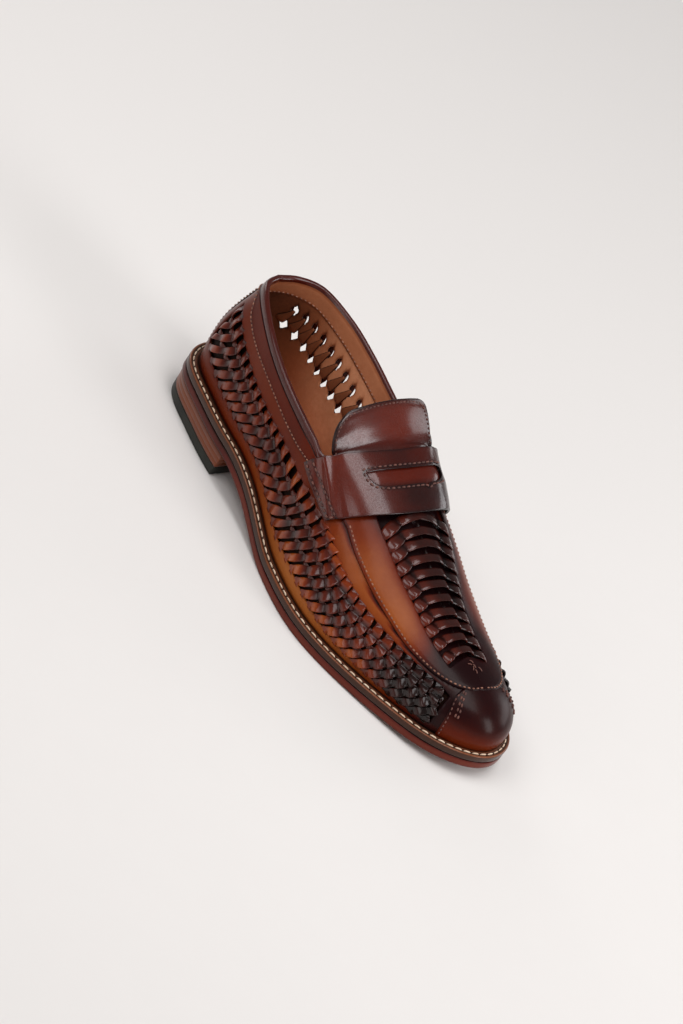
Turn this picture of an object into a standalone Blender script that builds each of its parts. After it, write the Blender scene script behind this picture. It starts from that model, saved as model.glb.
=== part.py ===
"""Woven penny loafer, right shoe: sole, heel, welt, upper, apron, tongue, strap and insole.

Lengths in the tables are millimetres and are turned to metres when a mesh is made.
X runs from heel to toe, Y to the wearer's left (the inner side of a right shoe), Z up.
The origin is the middle of the heel's resting face, on the floor.
"""
import bmesh
import bpy
import numpy as np
from mathutils.bvhtree import BVHTree

MM = 0.001
GAP = 0.3              # between pieces that touch
FIT = 0.35             # between curved leather layers

# sole and heel
BREAST_X = 36.0        # front face of the heel
SEAT_HEIGHT = 16.5     # underside of the outsole over the heel
LIFT_THICKNESS = 6.0
SOLE_THICKNESS = 4.8
WELT_THICKNESS = 4.2
WELT_WIDTH = 15.0
HEEL_INSET_TOP = 0.8   # heel sides stand in from the sole's edge
HEEL_INSET_FLOOR = 1.8
SHANK_START_X = 34.0   # the sole leaves the heel seat
TREAD_START_X = 108.0  # the sole is flat on the floor from here
TREAD_END_X = 165.0    # toe spring starts
TOE_SPRING = 7.5

# leather
UPPER_INSET = 5.8      # feather edge, in from the sole's edge
WALL = 2.2
APRON_THICKNESS = 1.2
STRAP_THICKNESS = 2.0
TONGUE_THICKNESS = 1.4
INSOLE_THICKNESS = 3.0
INSOLE_INSET = 8.8

# grids
STATIONS = 46          # round each side of the sole, heel to toe
ROWS = 13              # up the wall
UPPER_STATIONS = np.concatenate([     # closer together at the throat and the toe
    np.linspace(0.00, 0.42, 17)[:-1],
    np.linspace(0.42, 0.46, 4)[:-1],
    np.linspace(0.46, 0.51, 8)[:-1],
    np.linspace(0.51, 0.90, 16)[:-1],
    np.linspace(0.90, 1.00, 7),
])

# the sole's edge seen from above: x, y, from the heel's back round the outer side to the toe and back
SOLE_EDGE = (
    (-38.0, 0.0),      # heel back
    (-29.5, -22.0),
    (-5.0, -31.5),     # outer side of the heel
    (30.0, -37.5),
    (65.0, -39.5),     # outer waist
    (105.0, -48.0),
    (145.0, -53.5),    # outer ball
    (182.0, -46.0),
    (213.0, -35.0),
    (242.0, -21.0),
    (259.0, 4.0),      # toe tip
    (254.5, 22.5),
    (228.0, 41.5),
    (182.0, 51.0),     # inner ball
    (140.0, 50.0),
    (95.0, 37.5),      # inner waist
    (55.0, 30.0),
    (20.0, 31.0),      # inner side of the heel
    (-8.0, 31.0),
    (-27.5, 20.0),
)
TOE_POINT = 10         # the toe tip's place in SOLE_EDGE

# topline, from the heel's back to the throat.
# station, x, outer y, outer z, inner y, inner z
TOPLINE = np.array((
    (0.000, -25.5, 0.0, 91.0, 0.0, 91.0),
    (0.060, -21.3, -11.2, 92.0, 11.7, 93.0),
    (0.120, -11.7, -20.0, 92.0, 21.8, 94.5),
    (0.200, 11.0, -29.3, 88.0, 30.1, 91.5),
    (0.280, 34.0, -33.7, 82.7, 33.9, 86.5),
    (0.360, 57.4, -34.2, 77.3, 34.3, 82.0),
    (0.420, 76.0, -33.5, 73.8, 33.9, 79.0),
    (0.455, 88.0, -31.5, 71.5, 32.5, 80.0),
    (0.480, 94.5, -21.0, 75.5, 25.0, 83.8),
    (0.500, 97.0, 4.5, 80.8, 4.5, 80.8),
))
THROAT = 0.5           # station where the topline meets the crest
FAIRING = 0.04         # stations over which the walls beside the throat are averaged

# crest of the vamp, from the throat to the toe: x, y, z, rise towards the inner side
CREST = np.array((
    (97.0, 4.5, 80.8, 0.23),
    (120.0, 5.5, 73.4, 0.20),
    (140.0, 5.5, 65.6, 0.13),
    (160.0, 5.0, 57.6, 0.07),
    (178.0, 4.5, 52.0, 0.04),
    (196.0, 3.5, 46.8, 0.02),
    (212.0, 3.0, 43.6, 0.01),
    (226.0, 2.5, 42.2, 0.00),
))

# curve of the wall from feather edge to top.
# station, outer bulge, inner bulge, outer rise, inner rise, lean (degrees), reach
WALL_CURVE = np.array((
    (0.00, 5.0, 5.0, 0.49, 0.49, 15.0, 0.54),
    (0.12, 4.4, 3.5, 0.48, 0.47, 12.0, 0.49),
    (0.28, 1.7, 1.6, 0.41, 0.46, 18.0, 0.49),
    (0.42, 0.7, 1.1, 0.40, 0.54, 35.0, 0.57),
    (0.50, 0.9, 1.4, 0.54, 0.76, 82.0, 0.75),
    (0.60, 1.9, 1.7, 0.60, 0.72, 90.0, 0.72),
    (0.72, 2.0, 2.4, 0.65, 0.66, 90.0, 0.63),
    (0.87, 3.0, 4.2, 0.70, 0.71, 90.0, 0.62),
    (1.00, 4.0, 4.0, 0.62, 0.62, 90.0, 0.63),
))

# seam of the raised apron: station, height along the wall (0 feather edge, 1 crest)
APRON_SEAM = np.array((
    (0.50, 0.59),
    (0.60, 0.54),
    (0.70, 0.51),
    (0.78, 0.50),
    (0.84, 0.54),
    (0.88, 0.61),
    (0.92, 0.72),
    (0.96, 0.83),
    (1.00, 0.865),
))
APRON_START = 27       # place in UPPER_STATIONS of the apron's hidden rear edge

# straight line inside the instep that strap and tongue are bent round: y, z
INSTEP_AXIS = (4.0, 40.0)

# strap: share from outer end (-1) to inner end (1), rear angle, front angle, rear x, front x, height
# over the upper. Angles are degrees round the instep line, 0 straight up.
STRAP = np.array((
    (-1.00, -65.0, -77.0, 83.0, 117.0, 0.7),
    (-0.75, -49.0, -58.0, 89.5, 124.5, 2.5),
    (-0.50, -32.0, -38.0, 94.0, 129.0, 3.0),
    (0.00, 0.0, 0.0, 98.5, 134.0, 2.9),
    (0.50, 31.0, 37.0, 99.5, 135.0, 3.2),
    (0.75, 47.0, 56.0, 97.5, 133.0, 2.4),
    (1.00, 63.0, 75.0, 94.0, 129.0, 0.9),
))
STRAP_CELLS = 14       # along each half
STRAP_CROSS = 7        # front to back
SLOT_CELLS = 7         # half length of the penny slot, in cells
SLOT_ROWS = (2, 4)     # cells of the slot, front to back

# tongue's root under the strap: middle x, outer x, inner x, angle of its outer edge, of its inner edge
TONGUE_ROOT = (
    (111.5, 107.0, 111.5, -40.0, 34.0),
    (108.0, 103.5, 108.0, -41.0, 34.0),
    (104.5, 100.0, 104.5, -42.0, 33.0),
    (101.0, 96.5, 101.0, -43.0, 32.0),
    (97.5, 93.0, 98.0, -42.5, 31.0),
)
TONGUE_LIFT = 0.9
# tongue's free part: x, y, z of its middle, half width, drop of its sides, rise and advance to the
# inner side
TONGUE_TAB = (
    (93.5, 2.0, 85.3, 30.5, 6.0, 0.19, 0.10),
    (88.0, 2.0, 91.8, 31.5, 7.0, 0.16, 0.07),
    (83.0, 2.0, 99.0, 29.5, 7.0, 0.12, 0.03),
    (79.5, 2.5, 104.5, 22.0, 5.0, 0.10, 0.00),
)
TONGUE_CELLS = 14


def table(x, rows, column):
    """Smooth value of one column at x, with the first column as the table's stations."""
    xs, ys = rows[:, 0], rows[:, column]
    x = np.clip(x, xs[0], xs[-1])
    step = np.diff(xs)
    slope = np.diff(ys) / step
    tangent = np.empty_like(ys)
    tangent[1:-1] = (slope[:-1] * step[1:] + slope[1:] * step[:-1]) / (step[1:] + step[:-1])
    tangent[0], tangent[-1] = slope[0], slope[-1]
    i = np.clip(np.searchsorted(xs, x, side="right") - 1, 0, len(xs) - 2)
    t = (x - xs[i]) / step[i]
    return ((2 * t**3 - 3 * t**2 + 1) * ys[i] + (t**3 - 2 * t**2 + t) * step[i] * tangent[i]
            + (3 * t**2 - 2 * t**3) * ys[i + 1] + (t**3 - t**2) * step[i] * tangent[i + 1])


def smooth_loop(points, per_span):
    """Closed cubic spline through the points, with continuous curvature."""
    p = np.asarray(points, float)
    n = len(p)
    after = np.roll(p, -1, 0)
    span = np.linalg.norm(after - p, axis=1)
    matrix = np.zeros((n, n))
    right = np.zeros_like(p)
    for i in range(n):
        h0, h1 = span[i - 1], span[i]
        matrix[i, i - 1], matrix[i, i], matrix[i, (i + 1) % n] = h1, 2 * (h0 + h1), h0
        right[i] = 3 * (h1 * (p[i] - p[i - 1]) / h0 + h0 * (after[i] - p[i]) / h1)
    tangent = np.linalg.solve(matrix, right)[:, None]
    t = np.linspace(0, 1, per_span, endpoint=False)[None, :, None]
    h = span[:, None, None]
    curve = ((2 * t**3 - 3 * t**2 + 1) * p[:, None] + (t**3 - 2 * t**2 + t) * h * tangent
             + (3 * t**2 - 2 * t**3) * after[:, None] + (t**3 - t**2) * h * np.roll(tangent, -1, 0))
    return curve.reshape(-1, 2)


PER_SPAN = 24
EDGE = smooth_loop(SOLE_EDGE, PER_SPAN)
EDGE_STEP = np.roll(EDGE, -1, 0) - np.roll(EDGE, 1, 0)
EDGE_STEP /= np.linalg.norm(EDGE_STEP, axis=1)[:, None]
EDGE_OUT = np.stack([EDGE_STEP[:, 1], -EDGE_STEP[:, 0]], 1)


def edge_line(side, u, inset):
    """Plan points at stations u on one side (0 outer, 1 inner), set in from the sole's edge."""
    tip = TOE_POINT * PER_SPAN
    outer = np.arange(tip + 1)
    inner = np.r_[0, np.arange(len(EDGE) - 1, tip - 1, -1)]
    line = EDGE[(outer, inner)[side]] - EDGE_OUT[(outer, inner)[side]] * UPPER_INSET
    length = np.r_[0, np.cumsum(np.linalg.norm(np.diff(line, axis=0), axis=1))]
    line = line + EDGE_OUT[(outer, inner)[side]] * (UPPER_INSET - inset)
    share = length / length[-1]
    return np.stack([np.interp(u, share, line[:, 0]), np.interp(u, share, line[:, 1])], -1)


def sole_height(x):
    """Underside of the outsole: heel seat, waist, flat tread and toe spring."""
    t = np.clip((x - SHANK_START_X) / (TREAD_START_X - SHANK_START_X), 0, 1)
    spring = np.clip((x - TREAD_END_X) / (SOLE_EDGE[TOE_POINT][0] - TREAD_END_X), 0, None)
    return SEAT_HEIGHT * (1 - t) ** 2 * (1 + 2 * t) + TOE_SPRING * spring**2


def top_line(side, u):
    """Upper end of the wall at stations u: the topline, then the crest from throat to toe."""
    share = np.clip((u - THROAT) / (1 - THROAT), 0, 1)
    x = CREST[0, 0] + (CREST[-1, 0] - CREST[0, 0]) * np.sin(share * np.pi / 2)
    crest = np.stack([x, table(x, CREST, 1), table(x, CREST, 2)], -1)
    rim = np.stack([table(u, TOPLINE, 1), table(u, TOPLINE, 2 + 2 * side), table(u, TOPLINE, 3 + 2 * side)], -1)
    return np.where((u >= THROAT)[:, None], crest, rim)


def wall_curve(side, u, v):
    """One point for each pair of station u and height v, on that station's cubic curve."""
    foot_xy = edge_line(side, u, UPPER_INSET)
    foot_z = sole_height(foot_xy[:, 0]) + SOLE_THICKNESS + WELT_THICKNESS + 2 * GAP
    foot = np.column_stack([foot_xy, foot_z])
    top = top_line(side, u)
    inward = (top - foot)[:, :2]
    width = np.linalg.norm(inward, axis=1)
    inward = inward / width[:, None]
    height = top[:, 2] - foot[:, 2]
    lean = np.radians(table(u, WALL_CURVE, 5))
    crest_slope = np.column_stack([CREST[:, 0], np.gradient(CREST[:, 2], CREST[:, 0])])
    slope = table(top[:, 0], crest_slope, 1) * inward[:, 0] + table(top[:, 0], CREST, 3) * inward[:, 1]
    slope = slope * np.clip((u - THROAT + 0.05) / 0.1, 0, 1)
    reach = table(u, WALL_CURVE, 6) * (np.sin(lean) * width + np.cos(lean) * height)
    low = foot.copy()
    low[:, :2] -= inward * table(u, WALL_CURVE, 1 + side)[:, None]
    low[:, 2] += height * table(u, WALL_CURVE, 3 + side)
    high = top.copy()
    high[:, :2] -= inward * (np.sin(lean) * reach)[:, None]
    high[:, 2] -= (np.cos(lean) + np.sin(lean) * slope) * reach
    t = v[:, None]
    return (1 - t) ** 3 * foot + 3 * t * (1 - t) ** 2 * low + 3 * t**2 * (1 - t) * high + t**3 * top


def wall(side, u, v):
    """Outer surface of the upper: a grid of stations u by heights v, faired beside the throat."""
    v = np.broadcast_to(v, (len(u), np.shape(v)[-1]))
    u = np.broadcast_to(u[:, None], v.shape)
    reach = FAIRING * np.exp(-((u - THROAT) / 0.08) ** 2) * np.sqrt(4 * v * (1 - v))
    shares = {-2: 0.0625, -1: 0.25, 0: 0.375, 1: 0.25, 2: 0.0625}
    points = sum(share * wall_curve(side, (u + step * reach).ravel(), v.ravel())
                 for step, share in shares.items())
    return points.reshape(*v.shape, 3)


def wall_point(side, u, v, lift):
    """Points off the upper's outer surface by lift, one for each pair of u and v."""
    step = 0.004
    v = np.minimum(v, 1 - step)
    here = wall(side, u, v[:, None])[:, 0]
    along = wall(side, u + step, v[:, None])[:, 0] - here
    up = wall(side, u, v[:, None] + step)[:, 0] - here
    out = np.cross(along, up) * (1 if side == 0 else -1)
    out /= np.linalg.norm(out, axis=1)[:, None]
    return here + out * np.asarray(lift)[..., None]


def grid_faces(rows, columns, wrap=False, flip=False, skip=()):
    """Quads of a grid of points; wrap joins the last row to the first."""
    faces = []
    for i in range(rows if wrap else rows - 1):
        for j in range(columns - 1):
            if (i, j) in skip:
                continue
            k = (i + 1) % rows
            quad = [i * columns + j, k * columns + j, k * columns + j + 1, i * columns + j + 1]
            faces.append(quad[::-1] if flip else quad)
    return faces


def make_object(name, points, faces, material):
    """Mesh object from points in millimetres, with shared points merged."""
    mesh = bpy.data.meshes.new(name)
    mesh.from_pydata([tuple(p) for p in np.asarray(points) * MM], [], faces)
    work = bmesh.new()
    work.from_mesh(mesh)
    bmesh.ops.remove_doubles(work, verts=work.verts, dist=0.00001)
    bmesh.ops.dissolve_degenerate(work, edges=work.edges, dist=0.00001)
    work.to_mesh(mesh)
    work.free()
    mesh.materials.append(material)
    mesh.shade_smooth()
    thing = bpy.data.objects.new(name, mesh)
    bpy.data.collections["loafer"].objects.link(thing)
    return thing


def add_shell(thing, thickness, outward):
    """Give an open surface its wall, on its outer or its inner side."""
    solid = thing.modifiers.new("wall", "SOLIDIFY")
    solid.thickness = thickness * MM
    solid.offset = 1 if outward else -1
    return thing


def block(name, low, high, material, wrap=False):
    """Closed body between a lower and an upper grid of the same layout."""
    rows, columns = low.shape[:2]
    count = rows * columns
    faces = grid_faces(rows, columns, wrap)
    faces += [[i + count for i in face[::-1]] for face in faces]
    rim = [(i * columns, (i + 1) % rows * columns) for i in range(rows if wrap else rows - 1)]
    rim += [(b + columns - 1, a + columns - 1) for a, b in rim]
    if not wrap:
        last = (rows - 1) * columns
        rim += [(j + 1, j) for j in range(columns - 1)]
        rim += [(last + j, last + j + 1) for j in range(columns - 1)]
    faces += [[a, a + count, b + count, b] for a, b in rim]
    points = np.concatenate([low.reshape(-1, 3), high.reshape(-1, 3)])
    thing = make_object(name, points, faces, material)
    work = bmesh.new()
    work.from_mesh(thing.data)
    bmesh.ops.recalc_face_normals(work, faces=work.faces)
    work.to_mesh(thing.data)
    work.free()
    return thing


def sole_grid(inset, height, end=None, cross=4, stations=STATIONS):
    """Grid of points across the sole from outer to inner side; end is an x to stop at."""
    sides = []
    for side in (0, 1):
        fine = np.linspace(0, 1, 2001)
        x = edge_line(side, fine, inset)[:, 0]
        stop = 1.0 if end is None else np.interp(end, x[:1000], fine[:1000])
        sides.append(edge_line(side, np.linspace(0, stop, stations + 1), inset))
    share = np.linspace(0, 1, cross + 1)[None, :, None]
    plan = sides[0][:, None] * (1 - share) + sides[1][:, None] * share
    z = height(plan[..., 0]) if callable(height) else np.full(plan.shape[:2], height)
    return np.dstack([plan, z])


def make_outsole(material):
    low = sole_grid(0.0, sole_height)
    high = sole_grid(0.0, lambda x: sole_height(x) + SOLE_THICKNESS)
    return block("outsole", low, high, material)


def make_welt(material):
    """Ring round the whole shoe, on the outsole's edge."""
    u = np.linspace(0, 1, STATIONS + 1)
    grids = []
    for level in (SOLE_THICKNESS + GAP, SOLE_THICKNESS + GAP + WELT_THICKNESS):
        loops = []
        for inset in (0.0, WELT_WIDTH):
            line = np.concatenate([edge_line(0, u, inset)[:-1], edge_line(1, u, inset)[:0:-1]])
            loops.append(np.column_stack([line, sole_height(line[:, 0]) + level]))
        grids.append(np.stack(loops, 1))
    return block("welt", grids[0], grids[1], material, wrap=True)


def make_heel(name, bottom, top, low_inset, high_inset, material):
    low = sole_grid(low_inset, bottom, BREAST_X, 3, 16)
    high = sole_grid(high_inset, top, BREAST_X, 3, 16)
    return block(name, low, high, material)


def make_insole(material):
    floor = SOLE_THICKNESS + WELT_THICKNESS + 3 * GAP
    low = sole_grid(INSOLE_INSET, lambda x: sole_height(x) + floor)
    high = sole_grid(INSOLE_INSET, lambda x: sole_height(x) + floor + INSOLE_THICKNESS)
    return block("insole", low, high, material)


def make_upper(material):
    """Both sides of the last as one surface, joined at heel, toe and crest, then walled inwards."""
    v = np.linspace(0, 1, ROWS + 1)
    points = np.concatenate([wall(side, UPPER_STATIONS, v).reshape(-1, 3) for side in (0, 1)])
    faces = grid_faces(len(UPPER_STATIONS), ROWS + 1)
    count = len(UPPER_STATIONS) * (ROWS + 1)
    faces += [[i + count for i in face[::-1]] for face in faces]
    return add_shell(make_object("upper", points, faces, material), WALL, False)


def make_apron(material):
    """Raised plug on the vamp, from under the strap to the toe, outside the upper's own surface."""
    u = UPPER_STATIONS[APRON_START:]
    rows = 6
    seam = table(u, APRON_SEAM, 1)
    points = []
    for side in (0, 1):
        for station, low in zip(u, seam):
            v = np.linspace(low, 1, rows + 1)
            points.append(wall_point(side, np.full(rows + 1, min(station, 0.994)), v, np.full(rows + 1, FIT)))
            if station == 1.0:
                points[-1] = toe_line(v, FIT)
    points = np.concatenate(points)
    count = len(points) // 2
    middle = crest_middle(u, FIT)
    for side in (0, 1):
        points[side * count + rows:(side + 1) * count:rows + 1] = middle
    faces = grid_faces(len(u), rows + 1)
    faces += [[i + count for i in face[::-1]] for face in faces]
    return add_shell(make_object("apron", points, faces, material), APRON_THICKNESS, True)


def toe_line(v, lift):
    """Points over the middle line of the toe."""
    near = np.full(len(v), 0.994)
    return (wall_point(0, near, v, np.full(len(v), lift)) + wall_point(1, near, v, np.full(len(v), lift))) / 2


def crest_middle(u, lift):
    """Points over the crest, shared by both sides."""
    near = np.minimum(u, 0.994)
    high = np.full(len(u), 0.99)
    return (wall_point(0, near, high, np.full(len(u), lift))
            + wall_point(1, near, high, np.full(len(u), lift))) / 2


def make_instep():
    """Search tree of everything under the strap: the upper with the apron's height added."""
    u = np.linspace(0.36, 0.70, 86)
    v = np.linspace(0, 1, 61)
    points, faces = [], []
    for side in (0, 1):
        grid = [wall_point(side, u, np.full(len(u), height), np.zeros(len(u))) for height in v]
        points.append(np.stack(grid, 1).reshape(-1, 3))
        faces += [[i + side * len(u) * len(v) for i in face] for face in grid_faces(len(u), len(v))]
    return BVHTree.FromPolygons([tuple(p) for p in np.concatenate(points)], faces)


def instep_radius(tree, x, angle):
    """Distance of the upper from the instep line at each x and angle."""
    y, z = INSTEP_AXIS
    radius = np.full(x.shape, np.nan)
    for place in np.ndindex(x.shape):
        bearing = np.radians(angle[place])
        hit = tree.ray_cast((x[place], y, z), (0, np.sin(bearing), np.cos(bearing)))
        radius[place] = hit[3] if hit[3] else np.nan
    row = np.arange(len(x))
    for j in range(x.shape[1]):
        found = ~np.isnan(radius[:, j])
        radius[:, j] = np.interp(row, row[found], radius[found, j])
    return radius


def instep_points(x, angle, radius):
    y, z = INSTEP_AXIS
    return np.dstack([x, y + radius * np.sin(np.radians(angle)), z + radius * np.cos(np.radians(angle))])


def make_strap(tree, material):
    """Penny strap over the instep, with its slot left open."""
    across = np.linspace(-1, 1, 2 * STRAP_CELLS + 1)
    rear, front, rear_x, front_x, lift = (table(across, STRAP, k)[:, None] for k in range(1, 6))
    share = np.linspace(0, 1, STRAP_CROSS + 1)[None]
    angle = rear + (front - rear) * share
    x = rear_x + (front_x - rear_x) * share
    under = instep_radius(tree, x, angle)
    radius = under.copy()
    for _ in range(60):
        padded = np.pad(radius, 1, mode="edge")
        padded[0], padded[-1] = 2 * padded[1] - padded[2], 2 * padded[-2] - padded[-3]
        padded[:, 0], padded[:, -1] = (2 * padded[:, 1] - padded[:, 2], 2 * padded[:, -2] - padded[:, -3])
        mean = (padded[:-2, 1:-1] + padded[2:, 1:-1] + padded[1:-1, :-2] + padded[1:-1, 2:]) / 4
        radius = np.maximum((radius + mean) / 2, under)
    points = instep_points(x, angle, radius + lift)
    slot = {(i, j) for i in range(STRAP_CELLS - SLOT_CELLS, STRAP_CELLS + SLOT_CELLS)
            for j in range(*SLOT_ROWS)}
    faces = grid_faces(len(across), STRAP_CROSS + 1, flip=True, skip=slot)
    return add_shell(make_object("strap", points.reshape(-1, 3), faces, material), STRAP_THICKNESS, True)


def make_tongue(tree, material):
    """Curved tab that stands up behind the strap, rooted between strap and upper."""
    across = np.linspace(-1, 1, TONGUE_CELLS + 1)
    rows = []
    for middle_x, outer_x, inner_x, outer, inner in TONGUE_ROOT:
        angle = (outer + (inner - outer) * (across + 1) / 2)[:, None]
        place = (middle_x + np.where(across < 0, outer_x - middle_x, inner_x - middle_x) * across**2)[:, None]
        rows.append(instep_points(place, angle, instep_radius(tree, place, angle) + TONGUE_LIFT)[:, 0])
    for x, y, z, wide, drop, rise, advance in TONGUE_TAB:
        side = wide * across
        rows.append(np.column_stack([x + advance * side, y + side, z - drop * across**2 + rise * side]))
    rows = np.array(rows)
    named = np.r_[0, np.cumsum(np.linalg.norm(np.diff(rows[:, TONGUE_CELLS // 2], axis=0), axis=1))]
    share = np.linspace(0, named[-1], TONGUE_CELLS + 1)
    points = np.empty((TONGUE_CELLS + 1, TONGUE_CELLS + 1, 3))
    for j in range(TONGUE_CELLS + 1):
        line = np.column_stack([named, rows[:, j]])
        points[:, j] = np.column_stack([table(share, line, k) for k in (1, 2, 3)])
    faces = grid_faces(TONGUE_CELLS + 1, TONGUE_CELLS + 1, flip=True)
    return add_shell(make_object("tongue", points.reshape(-1, 3), faces, material), TONGUE_THICKNESS, True)


def leather(name, colour, roughness):
    """Principled material of one colour."""
    material = bpy.data.materials.new(name)
    material.use_nodes = True
    shader = material.node_tree.nodes["Principled BSDF"]
    shader.inputs["Base Color"].default_value = (*colour, 1)
    shader.inputs["Roughness"].default_value = roughness
    shader.inputs["Metallic"].default_value = 0.0
    return material


def main():
    for thing in list(bpy.data.objects):
        bpy.data.objects.remove(thing)
    bpy.context.scene.collection.children.link(bpy.data.collections.new("loafer"))

    tan = leather("burnished_leather", (0.17, 0.055, 0.022), 0.35)
    dark = leather("oxblood_leather", (0.09, 0.018, 0.012), 0.3)
    sole = leather("sole_leather", (0.12, 0.04, 0.032), 0.5)
    rand = leather("welt_leather", (0.05, 0.03, 0.025), 0.45)
    stack = leather("stacked_leather", (0.11, 0.035, 0.018), 0.4)
    rubber = leather("heel_rubber", (0.014, 0.016, 0.014), 0.6)
    lining = leather("lining_leather", (0.30, 0.13, 0.07), 0.6)

    make_heel("top_lift", 0.0, LIFT_THICKNESS, HEEL_INSET_FLOOR, HEEL_INSET_FLOOR - 0.2, rubber)
    make_heel("heel_stack", LIFT_THICKNESS + GAP, SEAT_HEIGHT - GAP, HEEL_INSET_FLOOR - 0.2, HEEL_INSET_TOP, stack)
    make_outsole(sole)
    make_welt(rand)
    make_insole(lining)
    make_upper(tan)
    make_apron(tan)
    instep = make_instep()
    make_tongue(instep, dark)
    make_strap(instep, dark)


main()
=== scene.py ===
import math

import bpy
import numpy as np
from mathutils import Matrix, Vector


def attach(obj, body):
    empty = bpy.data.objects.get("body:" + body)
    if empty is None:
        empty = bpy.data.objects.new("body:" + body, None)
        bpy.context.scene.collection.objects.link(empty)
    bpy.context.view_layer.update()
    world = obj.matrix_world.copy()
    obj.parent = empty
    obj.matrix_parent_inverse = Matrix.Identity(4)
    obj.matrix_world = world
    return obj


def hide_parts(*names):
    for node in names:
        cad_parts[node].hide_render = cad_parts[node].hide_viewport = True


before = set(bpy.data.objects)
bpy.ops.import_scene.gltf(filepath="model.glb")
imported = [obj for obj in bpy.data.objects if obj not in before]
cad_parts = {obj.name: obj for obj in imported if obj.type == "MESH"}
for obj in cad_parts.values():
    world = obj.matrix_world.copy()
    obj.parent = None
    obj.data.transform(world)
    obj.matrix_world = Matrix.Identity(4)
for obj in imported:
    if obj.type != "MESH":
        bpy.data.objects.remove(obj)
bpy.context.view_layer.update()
mm = 0.001
print("frame loaded:", len(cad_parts), "CAD nodes")


# curves and tables

def smoothTable(x, rows, column=1):
    # cubic through the rows: value of one column where the first column is x, level slopes kept
    rows = np.asarray(rows, float)
    xs, ys = rows[:, 0], rows[:, column]
    x = np.clip(x, xs[0], xs[-1])
    step = np.diff(xs)
    slope = np.diff(ys) / step
    tangent = np.empty_like(ys)
    tangent[1:-1] = (slope[:-1] * step[1:] + slope[1:] * step[:-1]) / (step[1:] + step[:-1])
    tangent[0], tangent[-1] = slope[0], slope[-1]
    i = np.clip(np.searchsorted(xs, x, side="right") - 1, 0, len(xs) - 2)
    t = (x - xs[i]) / step[i]
    return ((2 * t**3 - 3 * t**2 + 1) * ys[i] + (t**3 - 2 * t**2 + t) * step[i] * tangent[i]
            + (3 * t**2 - 2 * t**3) * ys[i + 1] + (t**3 - t**2) * step[i] * tangent[i + 1])


def rise(x, low, high):
    # 0 below low, 1 above high, smooth between
    t = np.clip((x - low) / (high - low), 0, 1)
    return t * t * (3 - 2 * t)


def bell(x, middle, width):
    # bell curve: 1 at the middle, falling with the square of the distance in widths
    return np.exp(-((x - middle) / width) ** 2)


def closedSpline(points, perSpan):
    # closed cubic through the points, its curvature continuous
    p = np.asarray(points, float)
    n = len(p)
    after = np.roll(p, -1, 0)
    span = np.linalg.norm(after - p, axis=1)
    before = np.roll(span, 1)
    k = np.arange(n)
    matrix = np.zeros((n, n))
    matrix[k, k - 1], matrix[k, k], matrix[k, (k + 1) % n] = span, 2 * (before + span), before
    right = 3 * (span[:, None] * (p - np.roll(p, 1, 0)) / before[:, None]
                 + before[:, None] * (after - p) / span[:, None])
    tangent = np.linalg.solve(matrix, right)[:, None]
    t = np.linspace(0, 1, perSpan, endpoint=False)[None, :, None]
    h = span[:, None, None]
    curve = ((2 * t**3 - 3 * t**2 + 1) * p[:, None] + (t**3 - 2 * t**2 + t) * h * tangent
             + (3 * t**2 - 2 * t**3) * after[:, None] + (t**3 - t**2) * h * np.roll(tangent, -1, 0))
    return curve.reshape(-1, 2)


def unit(vectors):
    # each vector divided by its own length
    return vectors / np.maximum(np.linalg.norm(vectors, axis=-1, keepdims=True), 1e-9)


def runningLength(points):
    # length of a path up to each of its points
    return np.r_[0, np.cumsum(np.linalg.norm(np.diff(points, axis=0), axis=1))]


def atLengths(values, length, at):
    # the three columns of values that go with a path, read at the given lengths along it
    return np.stack([np.interp(at, length, values[:, k]) for k in range(3)], -1)


# the last: sole edge, topline, crest and wall curve, in millimetres; stations run from heel 0 to toe 1

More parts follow.
